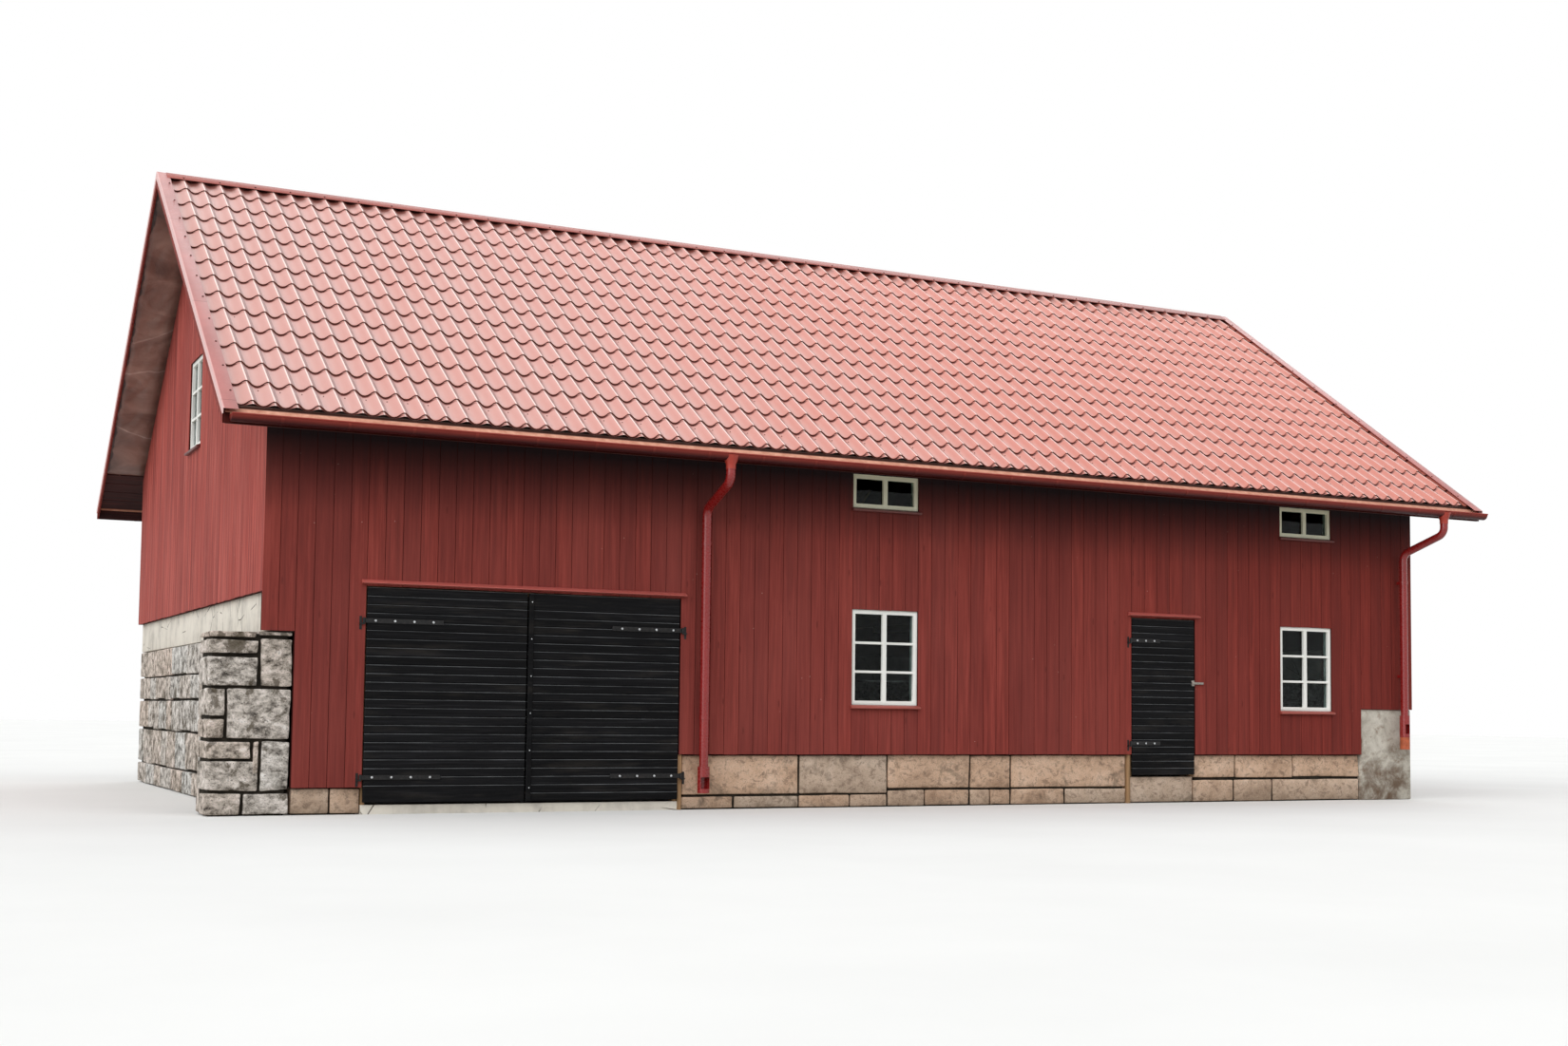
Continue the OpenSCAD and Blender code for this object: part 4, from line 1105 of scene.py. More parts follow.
class BARN_OT_roof(BarnStep):
    """The waved and stepped roof sheets of both slopes."""

    bl_idname = "barn.roof"
    bl_label = "Roof sheets"

    ACROSS = (0, 0.04, 0.09, 0.16, 0.25, 0.36, 0.47, 0.6, 0.72, 0.83, 0.93, 1)
    ALONG = (0.0, 0.1, 0.945, 0.985, 1.0, 1.0)
    LIFT = (0.0, 0.09, 1.0, 0.97, 0.82, 0.0)
    STEEP_SHARE, CREST_POWER = 0.43, 1.25
    UPPER_END = 0.06
    LAST_LIP = 0.003
    MERGE = CLEAR = 0.0002
    FOLD = 0.0011
    NEAR = 0.0005

    def swell(self, t):
        """The wave's height, 0 to 1, from one crest to the next: steep down, then slowly up."""
        steep = self.STEEP_SHARE
        turn = t / steep / 2 if t < steep else 0.5 + (t - steep) / (1 - steep) / 2
        return ((1 + math.cos(2 * math.pi * turn)) / 2) ** self.CREST_POWER

    def tile(self, sizes):
        """One tile: a grid of one wave by one row, bent to the wave and stepped at its end."""
        across, along = len(self.ACROSS) - 1, len(self.ALONG) - 1
        obj = grid(across, along)
        shade_below = []
        for point in obj.data.vertices:
            t = self.ACROSS[round(point.co.x * across)]
            row = round(point.co.y * along)
            swell = self.swell(t)
            shade_below.append(float(row in (0, along)))
            point.co = (
                t * sizes.wave,
                self.ALONG[row] * sizes.row - swell * sizes.row_curve,
                swell * sizes.wave_height + self.LIFT[row] * sizes.row_step,
            )
        # The step faces take the second finish, dark as painted shade.
        for face in obj.data.polygons:
            face.material_index = int(abs(face.normal.z) < 0.5)
        obj.data.attributes.new("shade", "FLOAT", "POINT").data.foreach_set("value", shade_below)
        return obj

    def cut(self, obj, point, normal):
        """Cuts a piece at a plane and keeps the part behind it."""
        edit(obj)
        bpy.ops.mesh.bisect(plane_co=point, plane_no=normal, clear_outer=True, use_fill=False)
        leave_edit()

    def pick_edges(self, obj, wanted):
        """Selects the open edges whose middle is wanted."""
        bpy.ops.object.mode_set(mode="EDIT")
        bpy.ops.mesh.select_mode(type="EDGE")
        bpy.ops.mesh.select_all(action="DESELECT")
        bpy.ops.mesh.select_non_manifold(
            extend=False, use_wire=False, use_boundary=True, use_multi_face=False,
            use_non_contiguous=False, use_verts=False,
        )
        leave_edit()
        points = obj.data.vertices
        picked = [
            edge.index for edge in obj.data.edges
            if edge.select and wanted((points[edge.vertices[0]].co + points[edge.vertices[1]].co) / 2)
        ]
        for group in (points, obj.data.polygons, obj.data.edges):
            group.foreach_set("select", [False] * len(group))
        for index in picked:
            obj.data.edges[index].select = True
        bpy.ops.object.mode_set(mode="EDIT")

    def close_underside(self, obj, ends):
        """Folds both ends down by a sheet's thickness and closes the underside with plain waves."""
        for at in ends:
            self.pick_edges(obj, lambda p, at=at: abs(p.y - at) < self.NEAR)
            bpy.ops.mesh.extrude_region_move(TRANSFORM_OT_translate={"value": (0, 0, -self.FOLD)})
            leave_edit()
        self.pick_edges(obj, lambda p: min(abs(p.y - at) for at in ends) < self.NEAR)
        bpy.ops.mesh.bridge_edge_loops()
        for side in (SHEET_X0, SHEET_X1):
            self.pick_edges(obj, lambda p, side=side: abs(p.x - side) < self.NEAR)
            bpy.ops.mesh.edge_face_add()
            bpy.ops.mesh.quads_convert_to_tris()
        bpy.ops.mesh.select_all(action="SELECT")
        bpy.ops.mesh.normals_make_consistent(inside=False)
        leave_edit()

    def make(self, sizes, chance):
        top, end = self.UPPER_END, EAVE_U / COS
        first = sizes.wave_start + LEFT
        start = math.floor((SHEET_X0 - first) / sizes.wave)
        waves = math.ceil((SHEET_X1 - first) / sizes.wave) - start
        rows = math.ceil((end - top) / sizes.row) + 1
        slope = self.tile(sizes)
        for step, count in (((sizes.wave, 0.0, 0.0), waves), ((0.0, sizes.row, 0.0), rows)):
            finish_modifier(
                slope, "ARRAY", count=count, use_relative_offset=False, use_constant_offset=True,
                constant_offset_displace=step, use_merge_vertices=True, merge_threshold=self.MERGE,
            )
        shift = end - self.LAST_LIP - (rows - 1) * sizes.row
        slope.data.transform(Matrix.Translation((first + start * sizes.wave, shift, 0)))
        for point, normal in (
            ((SHEET_X0, 0, 0), (-1, 0, 0)), ((SHEET_X1, 0, 0), (1, 0, 0)),
            ((0, top, 0), (0, -1, 0)), ((0, end, 0), (0, 1, 0)),
        ):
            self.cut(slope, point, normal)
        self.close_underside(slope, (top, end))
        tilt = Matrix(((1, 0, 0, 0), (0, -COS, -SIN, 0), (0, -SIN, COS, RIDGE_Z), (0, 0, 0, 1)))
        crests = Matrix.Translation((0, 0, -sizes.wave_height - sizes.row_step + self.CLEAR))
        slope.data.transform(tilt @ crests)
        slope.data.flip_normals()
        slope.name = "roof_sheets_front"
        smooth(slope, 34)
        back = link_new("roof_sheets_back", slope.data.copy())
        back.data.transform(Matrix.Scale(-1, 4, (0, 1, 0)))
        back.data.flip_normals()
        settle(slope, "roof", stands_for=("roof_front",), second="riser_shade_and_screws")
        settle(back, "roof", stands_for=("roof_back",), second="riser_shade_and_screws")


class BARN_OT_roof_trim(BarnStep):
    """Ridge cap, verge flashings and their screws."""

    bl_idname = "barn.roof_trim"
    bl_label = "Ridge and verges"

    BIG_SCREW, SMALL_SCREW = 0.009, 0.005
    BIG_RISE, SMALL_RISE, STRAY_RISE = 0.007, 0.006, 0.005
    CAP_SCREW_U, CAP_END = 0.085, 0.14
    VERGE_SCREWS, VERGE_INSET = 11, 0.1
    VERGE_FIRST, VERGE_LAST = 0.25, 0.15
    PAN_SHARE, PAN_SUNK = 0.46, 0.002
    SHEET_INSET, ABOVE_EAVE = 0.1, 0.045
    STRAY_SHARE, STRAY_ROWS = 0.3, range(2, 13)

    def make(self, sizes, chance):
        soften("ridge_cap", "ridge_cap_folded", 0.0012, 1, "cap")
        soften("verge_flashings", "verge_flashings_folded", 0.0012, 1, "verge")
        screws = heads(10, 0.12)
        pan = self.PAN_SHARE * sizes.wave
        pan_depth = sizes.wave_height + sizes.row_step - self.PAN_SUNK

        def screw(x, u, side, radius, under, over, depth=-CAP_RISE):
            """A screw on the front slope, or on the back one where side is negative."""
            place = np.array([x, -u * side, on_slope(u, depth)])
            turn = np.array([[1, 0, 0], [0, COS, -SIN * side], [0, SIN * side, COS]])
            low, high = (-radius, -radius, -under), (radius, radius, over)
            screws.add(low, high, 0.5, lambda p: p @ turn.T + place)

        first = LEFT + sizes.wave_start
        big, small, rise = self.BIG_SCREW, self.SMALL_SCREW, self.BIG_RISE
        crest = first
        while crest < ROOF_X1 - self.CAP_END:
            if crest > ROOF_X0 + self.CAP_END:
                for side in (1, -1):
                    screw(crest, self.CAP_SCREW_U, side, big, rise / 2, rise)
            crest += 2 * sizes.wave
        run = EAVE_U - (self.VERGE_FIRST + self.VERGE_LAST)
        for i in range(self.VERGE_SCREWS):
            u = self.VERGE_FIRST + i * run / (self.VERGE_SCREWS - 1)
            for side in (1, -1):
                for x in (ROOF_X0 + self.VERGE_INSET, ROOF_X1 - self.VERGE_INSET):
                    screw(x, u, side, big, rise / 2, rise * 0.4)
        crest = first + math.ceil((SHEET_X0 + self.SHEET_INSET - first) / sizes.wave) * sizes.wave
        low_row = EAVE_U / COS - sizes.row + self.ABOVE_EAVE
        while crest < SHEET_X1 - self.SHEET_INSET:
            for side in (1, -1):
                screw(crest + pan, low_row * COS, side, small, 0, self.SMALL_RISE, pan_depth)
                if chance.random() < self.STRAY_SHARE:
                    u = (low_row - chance.choice(self.STRAY_ROWS) * sizes.row) * COS
                    screw(crest + pan, u, side, small, 0, self.STRAY_RISE, pan_depth)
            crest += sizes.wave
        settle(smooth(screws.build("roof_screws"), 40), "riser_shade_and_screws")


class BARN_OT_wall_boards(BarnStep):
    """Upright boards on the front, the back and both gables."""

    bl_idname = "barn.wall_boards"
    bl_label = "Wall boards"

    BEHIND = 0.012
    SHORTEST = 0.03
    UNEVEN_FACE, UNEVEN_FOOT = 0.0006, 0.002
    CLEAR, UNDER_EAVE = 0.004, 0.021
    BACK_CORNER = 0.55
    GABLE_SHARE = 0.92

    def upright(self, sizes, chance, axis, face, outward, places, spans):
        """Boards between neighbouring places; spans gives each board's (low, high) parts."""
        batch = cuboids("board", 0.0015)
        other = 1 - axis
        for a, b in zip(places, places[1:]):
            tone = chance.random()
            out = face + outward * (sizes.proud + chance.uniform(-self.UNEVEN_FACE, self.UNEVEN_FACE))
            for low, high in spans((a + b) / 2):
                if high is not None and high - low < self.SHORTEST:
                    continue
                first, last = [0.0] * 3, [0.0] * 3
                first[axis], last[axis] = a + sizes.joint / 2, b - sizes.joint / 2
                first[other], last[other] = sorted((out, face - outward * self.BEHIND))
                first[2] = low + (chance.uniform(-self.UNEVEN_FOOT, self.UNEVEN_FOOT) if low > 0 else 0)
                last[2] = first[2] + 1.0 if high is None else high

                def under_roof(points, top=last[2]):
                    """Lifts the upper end to the slope."""
                    upper = points[:, 2] > top - 0.5
                    wanted = on_slope(0.0, MEMBRANE_D + self.CLEAR) - np.abs(points[:, 1]) * TAN
                    points[upper, 2] += (wanted - top)[upper]
                    return points

                batch.add(first, last, tone, under_roof if high is None else None)
        return batch

    def make(self, sizes, chance):
        top = on_slope(-FRONT + self.CLEAR, MEMBRANE_D + self.UNDER_EAVE)
        ends = [LEFT - sizes.proud, RIGHT + sizes.proud]
        doors = ((BIG_X0, BIG_X1), (SMALL_X0, SMALL_X1))
        edges = ends + [CORNER_X, BLOCK_X] + [x for door in doors for x in door]
        for window in FRONT_WINDOWS:
            edges += window[:2]

        def front_spans(x):
            if x < CORNER_X:
                base = CORNER_BASE
            elif x < BIG_X0:
                base = LOW_BASE
            elif x > BLOCK_X:
                base = BLOCK_TOP
            else:
                base = BOARD_BASE
            if any(a < x < b for a, b in doors):
                base = DOOR_TOP
            parts = [(base, top)]
            for a, b, low, high in FRONT_WINDOWS:
                if a < x < b:
                    around = [q for p in parts for q in ((p[0], min(p[1], low)), (max(p[0], high), p[1]))]
                    parts = [q for q in around if q[1] > q[0]]
            return parts

        back_edges = ends + [LEFT + self.BACK_CORNER]
        for window in UPPER_WINDOWS:
            back_edges += window[:2]

        def back_spans(x):
            base = LEFT_BASE if x < LEFT + self.BACK_CORNER else BACK_BASE
            for a, b, low, high in UPPER_WINDOWS:
                if a < x < b:
                    return [(base, low), (high, top)]
            return [(base, top)]

        for name, face, outward, marks, spans in (
            ("wall_boards_front", FRONT, -1, edges, front_spans),
            ("wall_boards_back", BACK, 1, back_edges, back_spans),
        ):
            boards = self.upright(sizes, chance, 0, face, outward, even_steps(marks, sizes.board), spans)
            settle(boards.build(name), "wall")

        a, b, low, high = GABLE_WINDOW
        marks = [FRONT - sizes.proud, BACK + sizes.proud, a, b, 0.0]
        places = even_steps(marks, sizes.board * self.GABLE_SHARE)
        for name, face, outward, base in (
            ("gable_boards_left", LEFT, -1, LEFT_BASE),
            ("gable_boards_right", RIGHT, 1, RIGHT_BASE),
        ):
            def gable_spans(y, base=base):
                return [(base, low), (high, None)] if a < y < b else [(base, None)]

            boards = self.upright(sizes, chance, 1, face, outward, places, gable_spans)
            settle(boards.build(name), "gable")


class BARN_OT_doors(BarnStep):
    """Door leaves of level boards, with ledges inside and bolted straps."""

    bl_idname = "barn.doors"
    bl_label = "Doors"

    LEAVES = (
        ("big_door_left", "left_leaf", "straps_left_leaf", 4),
        ("big_door_right", "right_leaf", "straps_right_leaf", 4),
        ("small_door", "small_leaf", "straps_small_door", 3),
    )
    FACE = FRONT - 0.006
    GAP = 0.0008
    BOARD_T = 0.028
    LEDGE_INSET, LEDGE_W, LEDGE_T = 0.06, 0.12, 0.025
    COVER_STRIP = 0.045
    STRAP_HEIGHT = 0.042
    BOLT, STRIP_BOLT, BOLT_RISE = 0.011, 0.006, 0.006
    STRIP_BOLTS = 6

    def boards(self, sizes, chance, node):
        """The boards of a leaf with its two ledges, and a cover strip on the right leaf."""
        low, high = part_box(node)
        face = self.FACE
        batch = cuboids("board", 0.006)
        places = even_steps([low.z, high.z], sizes.door_board)
        if node == "big_door_left":
            del places[1]
        elif node == "big_door_right":
            del places[-2]
        for a, b in zip(places, places[1:]):
            x0 = low.x + chance.uniform(0, 0.0015)
            x1 = high.x - chance.uniform(0, 0.0015)
            near = (x0, face + chance.uniform(0, 0.001), a + self.GAP)
            batch.add(near, (x1, face + self.BOARD_T, b - self.GAP), chance.random())
        inset, width = self.LEDGE_INSET, self.LEDGE_W
        for x in (low.x + inset, high.x - inset - width):
            near = (x, face + self.BOARD_T - 0.001, low.z + inset)
            batch.add(near, (x + width, face + self.BOARD_T + self.LEDGE_T, high.z - inset), 0.3)
        if node == "big_door_right":
            near = (low.x, face - 0.02, low.z)
            batch.add(near, (low.x + self.COVER_STRIP, face + 0.001, high.z), 0.6)
        return batch.build(node + "_boards")

    def bolts(self, node, straps, count):
        """Bolts along the straps, and smaller ones down the right leaf's cover strip."""
        low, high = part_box(node)
        lowest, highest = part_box(straps)
        batch = heads(12, 0.15)
        turn = np.array([[1, 0, 0], [0, 0, -1], [0, 1, 0]])

        def bolt(x, y, z, radius):
            place = np.array([x, y, z])
            corners = (-radius, -radius, -self.BOLT_RISE), (radius, radius, self.BOLT_RISE)
            batch.add(*corners, 0.5, lambda p: p @ turn.T + place)

        for z in (lowest.z + self.STRAP_HEIGHT / 2, highest.z - self.STRAP_HEIGHT / 2):
            for i in range(count):
                share = (i + 0.25) / (count - 0.55)
                if node == "big_door_right":
                    x = high.x - 0.03 - share * (high.x - lowest.x - 0.09)
                else:
                    x = low.x + 0.03 + share * (highest.x - low.x - 0.09)
                bolt(x, self.FACE - 0.010, z, self.BOLT)
        if node == "big_door_right":
            for i in range(self.STRIP_BOLTS):
                z = low.z + 0.12 + i * (high.z - low.z - 0.2) / (self.STRIP_BOLTS - 1)
                bolt(low.x + self.COVER_STRIP / 2, self.FACE - 0.022, z, self.STRIP_BOLT)
        return smooth(batch.build(node + "_bolts"), 40)

    def make(self, sizes, chance):
        for node, body, straps, count in self.LEAVES:
            settle(self.boards(sizes, chance, node), "door", body, (node,))
            soften(straps, straps + "_forged", 0.0012, 1, "iron", body)
            settle(self.bolts(node, straps, count), "bolts", body)
        soften("hinge_pintles", "hinge_pins_forged", 0.0008, 1, "iron")
        soften("door_latch", "latch_tongue", 0.0015, 2, "zinc", "small_leaf")
        soften("door_frames", "door_frame_posts", 0.003, 1, "post")
        soften("drip_flashings", "drip_flashings_folded", 0.003, 2, "flashing")


class BARN_OT_windows(BarnStep):
    """Window frames and sills with rounded edges."""

    bl_idname = "barn.windows"
    bl_label = "Windows"

    def make(self, sizes, chance):
        soften("window_frames", "window_frames_painted", 0.003, 2, "white")
        soften("window_sills", "window_sills_folded", 0.002, 2, "sill")


class BARN_OT_stones(BarnStep):
    """Granite blocks of the plinth, the corner and the walls below."""

    bl_idname = "barn.stones"
    bl_label = "Stones"

    EDGE = 0.011
    GAP = 0.003
    ROUGHNESS = ((0.5, 3.1), (0.5, 11.0), (0.3, 26.0))
    CORNER_DEPTH, CORNER_ROUGH, CORNER_SKEW = 0.52, 0.014, 0.015
    FIRST_STONE = 0.34
    PLINTH_ROUGH = 0.012
    LOW_BED, HIGH_BED = 0.13, 0.17
    RUBBLE_INSET = 0.03
    SEAMS = (5.176, 6.167, 7.139, 7.637)
    DOOR_FOOT = 0.04
    UPHILL_BED = 0.25

    def batch(self, cuts=1):
        return cuboids("stone", self.EDGE, 2, cuts)

    def stone(self, batch, low, high, chance, rough=0.01, skew=0.007):
        """One stone between two corners: skewed a little, with split faces that aren't quite flat."""
        low, high = np.array(low, float) + self.GAP, np.array(high, float) - self.GAP
        middle, half = (low + high) / 2, (high - low) / 2
        seed = Vector([chance.uniform(-50, 50) for _ in range(3)])
        corners = np.array([[chance.uniform(0, skew) for _ in range(3)] for _ in range(8)])

        def split(points):
            share = ((points - middle) / half).clip(-1, 1)
            moved = np.zeros_like(points)
            for i, inward in enumerate(corners):
                end = np.array([1 if i & bit else -1 for bit in (4, 2, 1)])
                moved += np.prod((1 + share * end) / 2, axis=1)[:, None] * -end * inward
            made = []
            for p in points + moved:
                q = Vector(p)
                wave = 0.5
                for part, size in self.ROUGHNESS:
                    wave += part * noise.noise(q * size + seed)
                q -= Vector((p - middle) / half) * rough * max(0.0, wave) * 0.7
                made.append((q.x, q.y, max(q.z, 0.0)))
            return np.array(made)

        batch.add(low, high, chance.random(), split)

    def course(self, batch, chance, axis, start, end, width, low, high, depth):
        """A row of stones along an axis."""
        at = start
        while at < end - 0.01:
            long = width * chance.uniform(0.65, 1.45)
            if end - at - long < width * 0.5:
                long = end - at
            a, b = [0.0] * 3, [0.0] * 3
            a[axis], b[axis] = at, at + long
            a[1 - axis], b[1 - axis] = depth
            a[2], b[2] = low + chance.uniform(-0.012, 0.012) * (low > 0.02), high
            self.stone(batch, a, b, chance)
            at += long

    def wall(self, node, axis, chance, width, low, high, rise=0.32):
        """A dry stone wall in courses, in the place of a node."""
        batch = self.batch()
        z = low.z
        while z < high.z - 0.01:
            tall = rise * chance.uniform(0.75, 1.3)
            if high.z - z - tall < rise * 0.6:
                tall = high.z - z
            depth = (low[1 - axis], high[1 - axis])
            self.course(batch, chance, axis, low[axis], high[axis], width, z, z + tall, depth)
            z += tall
        stones = batch.build(node.replace("foundation", "foundation_stones"))
        settle(smooth(stones, 50), "granite", stands_for=(node,))

    def cores(self, name, corners):
        """The rubble behind the gaps between the stones, dark as painted shade."""
        blocks = [block("rubble_shade", low, high, 0.01) for low, high in corners]
        settle(joined(blocks, name), "rubble_shade")

    def plinth(self, chance):
        """Long stones under the front wall, and the step under the small door."""
        low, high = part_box("plinth_front")
        front, rear = low.y, high.y
        batch = self.batch(2)
        seam = CORNER_X + self.FIRST_STONE
        for a, b in ((CORNER_X, seam), (seam, BIG_X0)):
            self.stone(batch, (a, front, 0), (b, rear, LOW_BASE), chance)
        seams = [BIG_X1 + self.DOOR_FOOT, *(LEFT + x for x in self.SEAMS), SMALL_X0 - self.DOOR_FOOT]
        for i, (a, b) in enumerate(zip(seams, seams[1:])):
            bed = self.LOW_BED if i < 2 else self.HIGH_BED
            self.stone(batch, (a, front, bed), (b, rear, BOARD_BASE), chance, self.PLINTH_ROUGH)
            split = a + (b - a) * chance.uniform(0.4, 0.6)
            for x0, x1 in ((a, split), (split, b)):
                self.stone(batch, (x0, front, 0), (x1, rear, bed), chance, self.PLINTH_ROUGH)
        for width, base, top in ((0.8, self.UPHILL_BED, BOARD_BASE), (0.7, 0.0, self.UPHILL_BED)):
            self.course(batch, chance, 0, SMALL_X1, BLOCK_X, width, base, top, (front, rear))
        settle(smooth(batch.build("plinth_stones"), 50), "dressed", stands_for=("plinth_front",))
        inset = self.RUBBLE_INSET
        spans = (
            (CORNER_X + inset, BIG_X0 - inset, LOW_BASE),
            (seams[0] + inset, seams[-1] - inset, BOARD_BASE),
            (SMALL_X1 + inset, BLOCK_X, BOARD_BASE),
        )
        corners = [((a, front + inset, 0), (b, rear - inset, z - 0.01)) for a, b, z in spans]
        self.cores("plinth_rubble", corners)
        step = self.batch(2)
        self.stone(step, *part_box("door_step"), chance)
        settle(smooth(step.build("door_step_stone"), 50), "dressed", stands_for=("door_step",))

    def corner(self, chance, wing, front, rear, top):
        """The big stones that are built into the left corner, each at its place along the front."""
        batch = self.batch(5)
        inner = CORNER_X - LEFT
        outer = wing - LEFT
        for a, b, z0, z1 in (
            (outer, -0.02, 1.500, top), (-0.02, inner, 1.516, top),
            (outer, 0.0, 1.360, 1.500), (0.0, inner, 1.085, 1.516),
            (outer, 0.0, 1.085, 1.360),
            (-0.27, inner, 0.640, 1.085), (outer, -0.27, 0.830, 1.085), (outer, -0.27, 0.640, 0.830),
            (0.02, inner, 0.200, 0.640), (outer, -0.05, 0.470, 0.640), (-0.05, 0.02, 0.350, 0.640),
            (outer, 0.02, 0.200, 0.470), (outer, -0.12, 0.0, 0.200), (-0.12, inner, 0.0, 0.200),
        ):
            near, far = (LEFT + a, front, z0), (LEFT + b, rear, z1)
            self.stone(batch, near, far, chance, self.CORNER_ROUGH, self.CORNER_SKEW)
        settle(smooth(batch.build("corner_stones"), 28), "granite")

    def make(self, sizes, chance):
        self.plinth(chance)
        low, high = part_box("foundation_left")
        right_low, right_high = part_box("foundation_right")
        back_low, back_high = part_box("foundation_back")
        front = FRONT + 0.004
        rear = front + self.CORNER_DEPTH
        self.corner(chance, low.x, front, rear, high.z)
        self.wall("foundation_left", 1, chance, 0.55, Vector((LEFT + 0.03, rear, 0)), high)
        self.wall("foundation_right", 1, chance, 0.55, right_low, right_high)
        self.wall("foundation_back", 0, chance, 0.6, back_low, back_high)
        self.cores("foundation_rubble", (
            ((low.x + 0.04, front + 0.05, 0), (CORNER_X - 0.04, rear, high.z - 0.03)),
            ((LEFT + 0.08, rear - 0.1, 0), (high.x - 0.05, high.y - 0.05, high.z - 0.01)),
            (
                (right_low.x + 0.05, FRONT + 0.35, 0),
                (right_high.x - 0.05, right_high.y - 0.05, right_high.z - 0.01),
            ),
            (
                (back_low.x - 0.1, back_low.y + 0.05, 0),
                (back_high.x + 0.1, back_high.y - 0.05, back_high.z - 0.01),
            ),
        ))
        soften("concrete_band", "render_band", 0.008, 2, "concrete")
        soften("corner_block", "cast_corner_block", 0.015, 2, "cast")


class BARN_OT_eaves(BarnStep):
    """Boards under the eaves, fascia and barge boards, and the sagging membrane at the verges."""

    bl_idname = "barn.eaves"
    bl_label = "Eaves"

    EAVE_BOARDS = 4
    BOARD_T, BOARD_GAP = 0.02, 0.002
    FIRST_U = 0.02
    SHEET_CLEAR, WALL_CLEAR = 0.001, 0.006
    SAGS = 8
    SAG, RIPPLE, CREASE = 0.008, 0.012, 0.005

    def eave_boards(self, chance, low, high):
        """Boards along the slope under both eaves."""
        batch = cuboids("board", 0.002)
        inner, outer = -FRONT, -low.y
        shift = MEMBRANE_D * TAN
        for side in (1, -1):

            def lay(points, side=side):
                """Turns a board's place along, down and under the slope into its place on the house."""
                x, s, d = points[:, 0], points[:, 1], points[:, 2]
                return np.stack([x, -side * (s * COS - d * SIN), RIDGE_Z - s * SIN - d * COS], axis=1)

            for i in range(self.EAVE_BOARDS):
                s0, s1 = ((inner + (outer - inner) * n / self.EAVE_BOARDS) / COS for n in (i, i + 1))
                near = (low.x, s0 - shift + self.BOARD_GAP, MEMBRANE_D)
                far = (high.x, s1 - shift - self.BOARD_GAP, MEMBRANE_D + self.BOARD_T)
                batch.add(near, far, chance.random(), lay)
        boards = batch.build("eave_boards_laid")
        edit(boards)
        bpy.ops.mesh.remove_doubles(threshold=0.00005)
        bpy.ops.mesh.normals_make_consistent(inside=False)
        leave_edit()
        settle(boards, "trim", stands_for=("eave_boards",))

    def membrane_sheet(self, x0, x1, side):
        """The membrane beside a gable, sagging between the rafters, with its edges held up."""
        sheet = grid(16, 120)
        for point in sheet.data.vertices:
            across, along = point.co.x, point.co.y
            u = self.FIRST_U + along * (-FRONT - self.FIRST_U)
            x = x0 + across * (x1 - x0)
            hem = min(1.0, 8 * across, 8 * (1 - across)) * min(1.0, 20 * along, 20 * (1 - along))
            sag = abs(math.sin(along * math.pi * self.SAGS)) ** 0.7
            ripple = noise.noise(Vector((x * 5.0, u * 2.2 * side, 4.0))) * 0.5 + 0.5
            crease = noise.noise(Vector((x * 14.0 + u * 9, u * 5.0, 9.0 * side)))
            hang = self.SAG * sag + self.RIPPLE * ripple + self.CREASE * crease
            d = MEMBRANE_D + 0.002 + hem * hang
            point.co = (x, -side * u, on_slope(u, d))
        if side < 0:
            sheet.data.flip_normals()
        finish_modifier(sheet, "SOLIDIFY", thickness=0.001, offset=-1.0)
        return sheet

    def make(self, sizes, chance):
        low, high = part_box("eave_boards")
        self.eave_boards(chance, low, high)
        for node, finish in (("fascia_boards", "trim"), ("barge_boards", "barge")):
            boards = softened(node, node + "_planed", 0.002, 1)
            # Faces turned to the front or back beyond the eave boards take the dark joint finish as painted
            # shade.
            for face in boards.data.polygons:
                face.material_index = int(abs(face.normal.y) > 0.9 and abs(face.center.y) > -low.y)
            settle(boards, finish, stands_for=(node,), second="joints")
        soften("drip_edges", "drip_edges_folded", 0.001, 1, "drip")
        folds = [
            self.membrane_sheet(x0, x1, side)
            for x0, x1 in (
                (SHEET_X0 + self.SHEET_CLEAR, LEFT - self.WALL_CLEAR),
                (RIGHT + self.WALL_CLEAR, SHEET_X1 - self.SHEET_CLEAR),
            )
            for side in (1, -1)
        ]
        settle(smooth(joined(folds, "membrane_folds"), 60), "membrane")


class BARN_OT_gutters(BarnStep):
    """Gutters, hooks, outlets and pipes with their clamps and shoes, and the drain collar."""

    bl_idname = "barn.gutters"
    bl_label = "Gutters"

    def make(self, sizes, chance):
        for node, name, finish, slot in (
            ("gutters", "gutters_rolled", "gutter", "gutter_metal"),
            ("gutter_outlets", "gutter_outlets_formed", "outlet", "gutter_metal"),
            ("downpipes", "downpipes_formed", "pipe", "gutter_metal"),
            ("pipe_shoes", "pipe_shoes_formed", "pipe", "gutter_metal"),
            ("gutter_hooks", "gutter_hooks_bent", "hook", "gutter_metal"),
            ("pipe_clamps", "pipe_clamps_bent", "pipe", "gutter_metal"),
            ("drain_collar", "drain_collar_moulded", "clay", "clay_plastic"),
        ):
            settle(smooth(copy_of_node(node, name), 30), finish, stands_for=(node,))


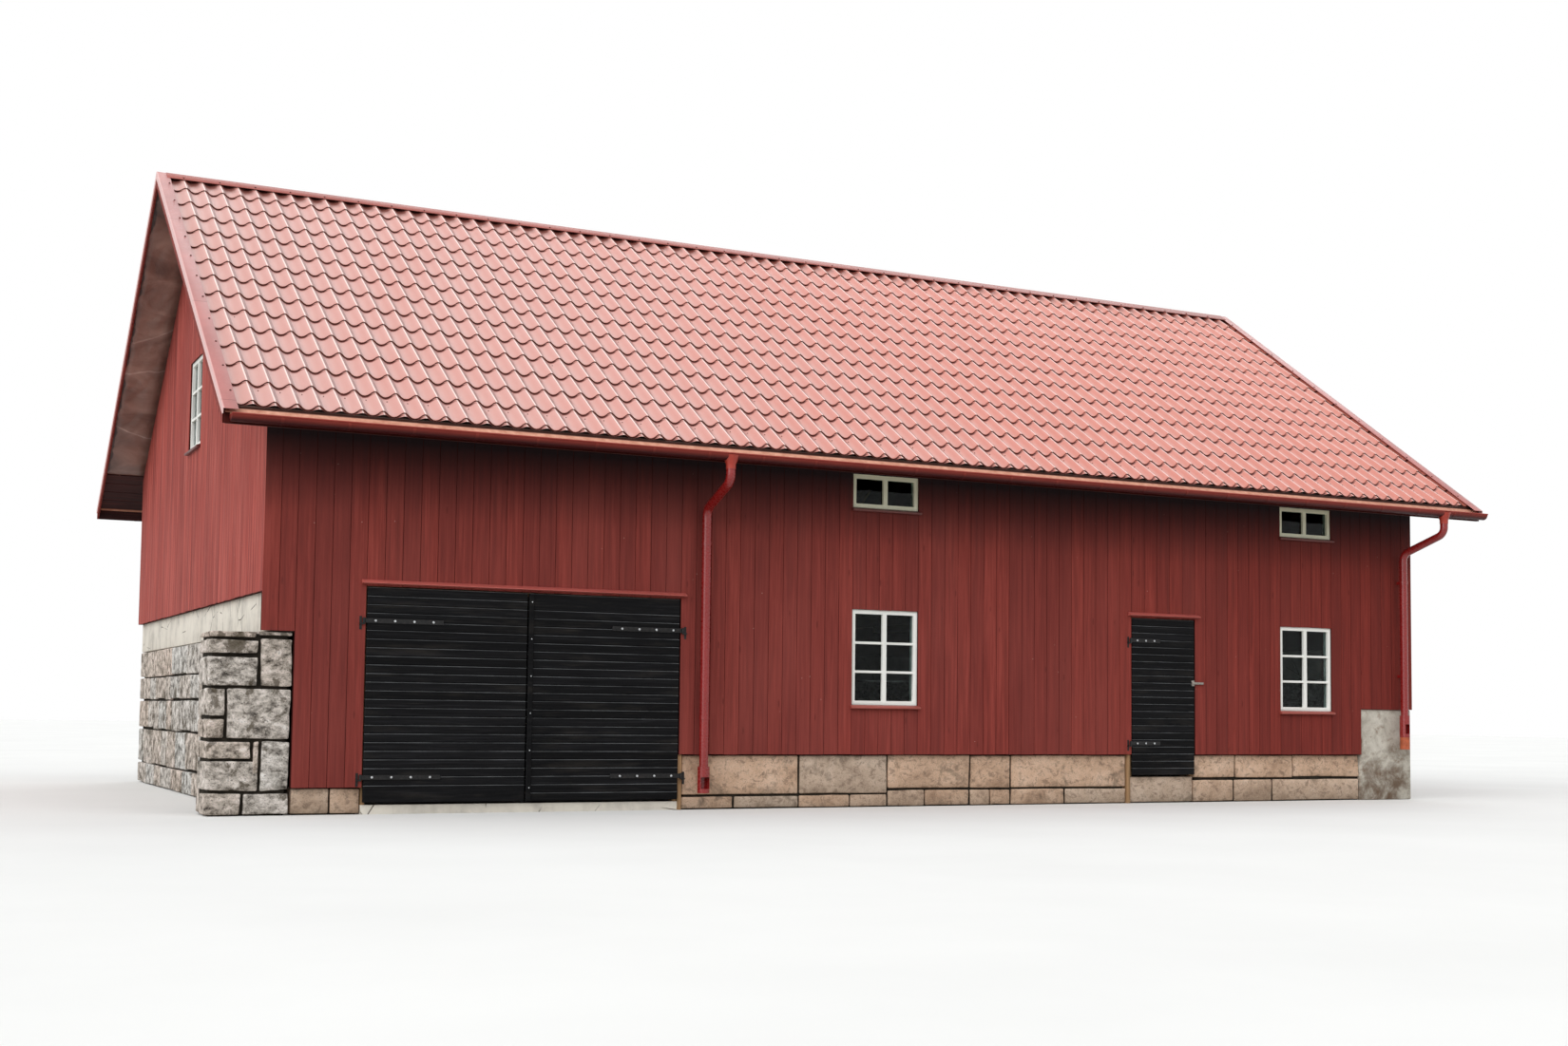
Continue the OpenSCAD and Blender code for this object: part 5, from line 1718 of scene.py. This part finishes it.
class BARN_OT_inside(BarnStep):
    """Boards of the loft floor, its beams and the rafters."""

    bl_idname = "barn.inside"
    bl_label = "Inside"

    FLOOR_BOARD, FLOOR_GAP = 0.14, 0.002

    def make(self, sizes, chance):
        low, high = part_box("loft_floor")
        batch = cuboids("board", 0.002)
        places, gap = even_steps([low.y, high.y], self.FLOOR_BOARD), self.FLOOR_GAP
        for a, b in zip(places, places[1:]):
            near, far = (low.x, a + gap / 2, low.z), (high.x, b - gap / 2, high.z)
            batch.add(near, far, chance.random())
        settle(batch.build("loft_boards"), "wood", stands_for=("loft_floor",))
        soften("floor_beams", "floor_beams_hewn", 0.006, 1, "wood")
        soften("rafters", "rafters_sawn", 0.003, 1, "wood")


class BARN_PT_steps(bpy.types.Panel):
    """Lists the steps of the barn."""

    bl_idname = "BARN_PT_steps"
    bl_label = "Red Barn"
    bl_space_type = "VIEW_3D"
    bl_region_type = "UI"
    bl_category = "Barn"

    def draw(self, context):
        for group in (context.scene.barn_sizes, context.scene.barn_colours):
            box = self.layout.box()
            for key in group.bl_rna.properties.keys():
                if key not in ("rna_type", "name"):
                    box.prop(group, key)
        for step in STEPS:
            self.layout.operator(step.bl_idname, text=step.bl_label)


STEPS = (
    BARN_OT_stage,
    BARN_OT_finishes,
    BARN_OT_roof,
    BARN_OT_roof_trim,
    BARN_OT_wall_boards,
    BARN_OT_doors,
    BARN_OT_windows,
    BARN_OT_stones,
    BARN_OT_eaves,
    BARN_OT_gutters,
    BARN_OT_inside,
)
CLASSES = (BarnSizes, BarnColours, *STEPS, BARN_PT_steps)


def register():
    for part in CLASSES:
        bpy.utils.register_class(part)
    bpy.types.Scene.barn_sizes = PointerProperty(type=BarnSizes)
    bpy.types.Scene.barn_colours = PointerProperty(type=BarnColours)


def unregister():
    del bpy.types.Scene.barn_colours
    del bpy.types.Scene.barn_sizes
    for part in reversed(CLASSES):
        bpy.utils.unregister_class(part)


def main():
    """Makes the whole barn."""
    register()
    for step in STEPS:
        area, name = step.bl_idname.split(".")
        getattr(getattr(bpy.ops, area), name)()


if __name__ == "__main__":
    main()
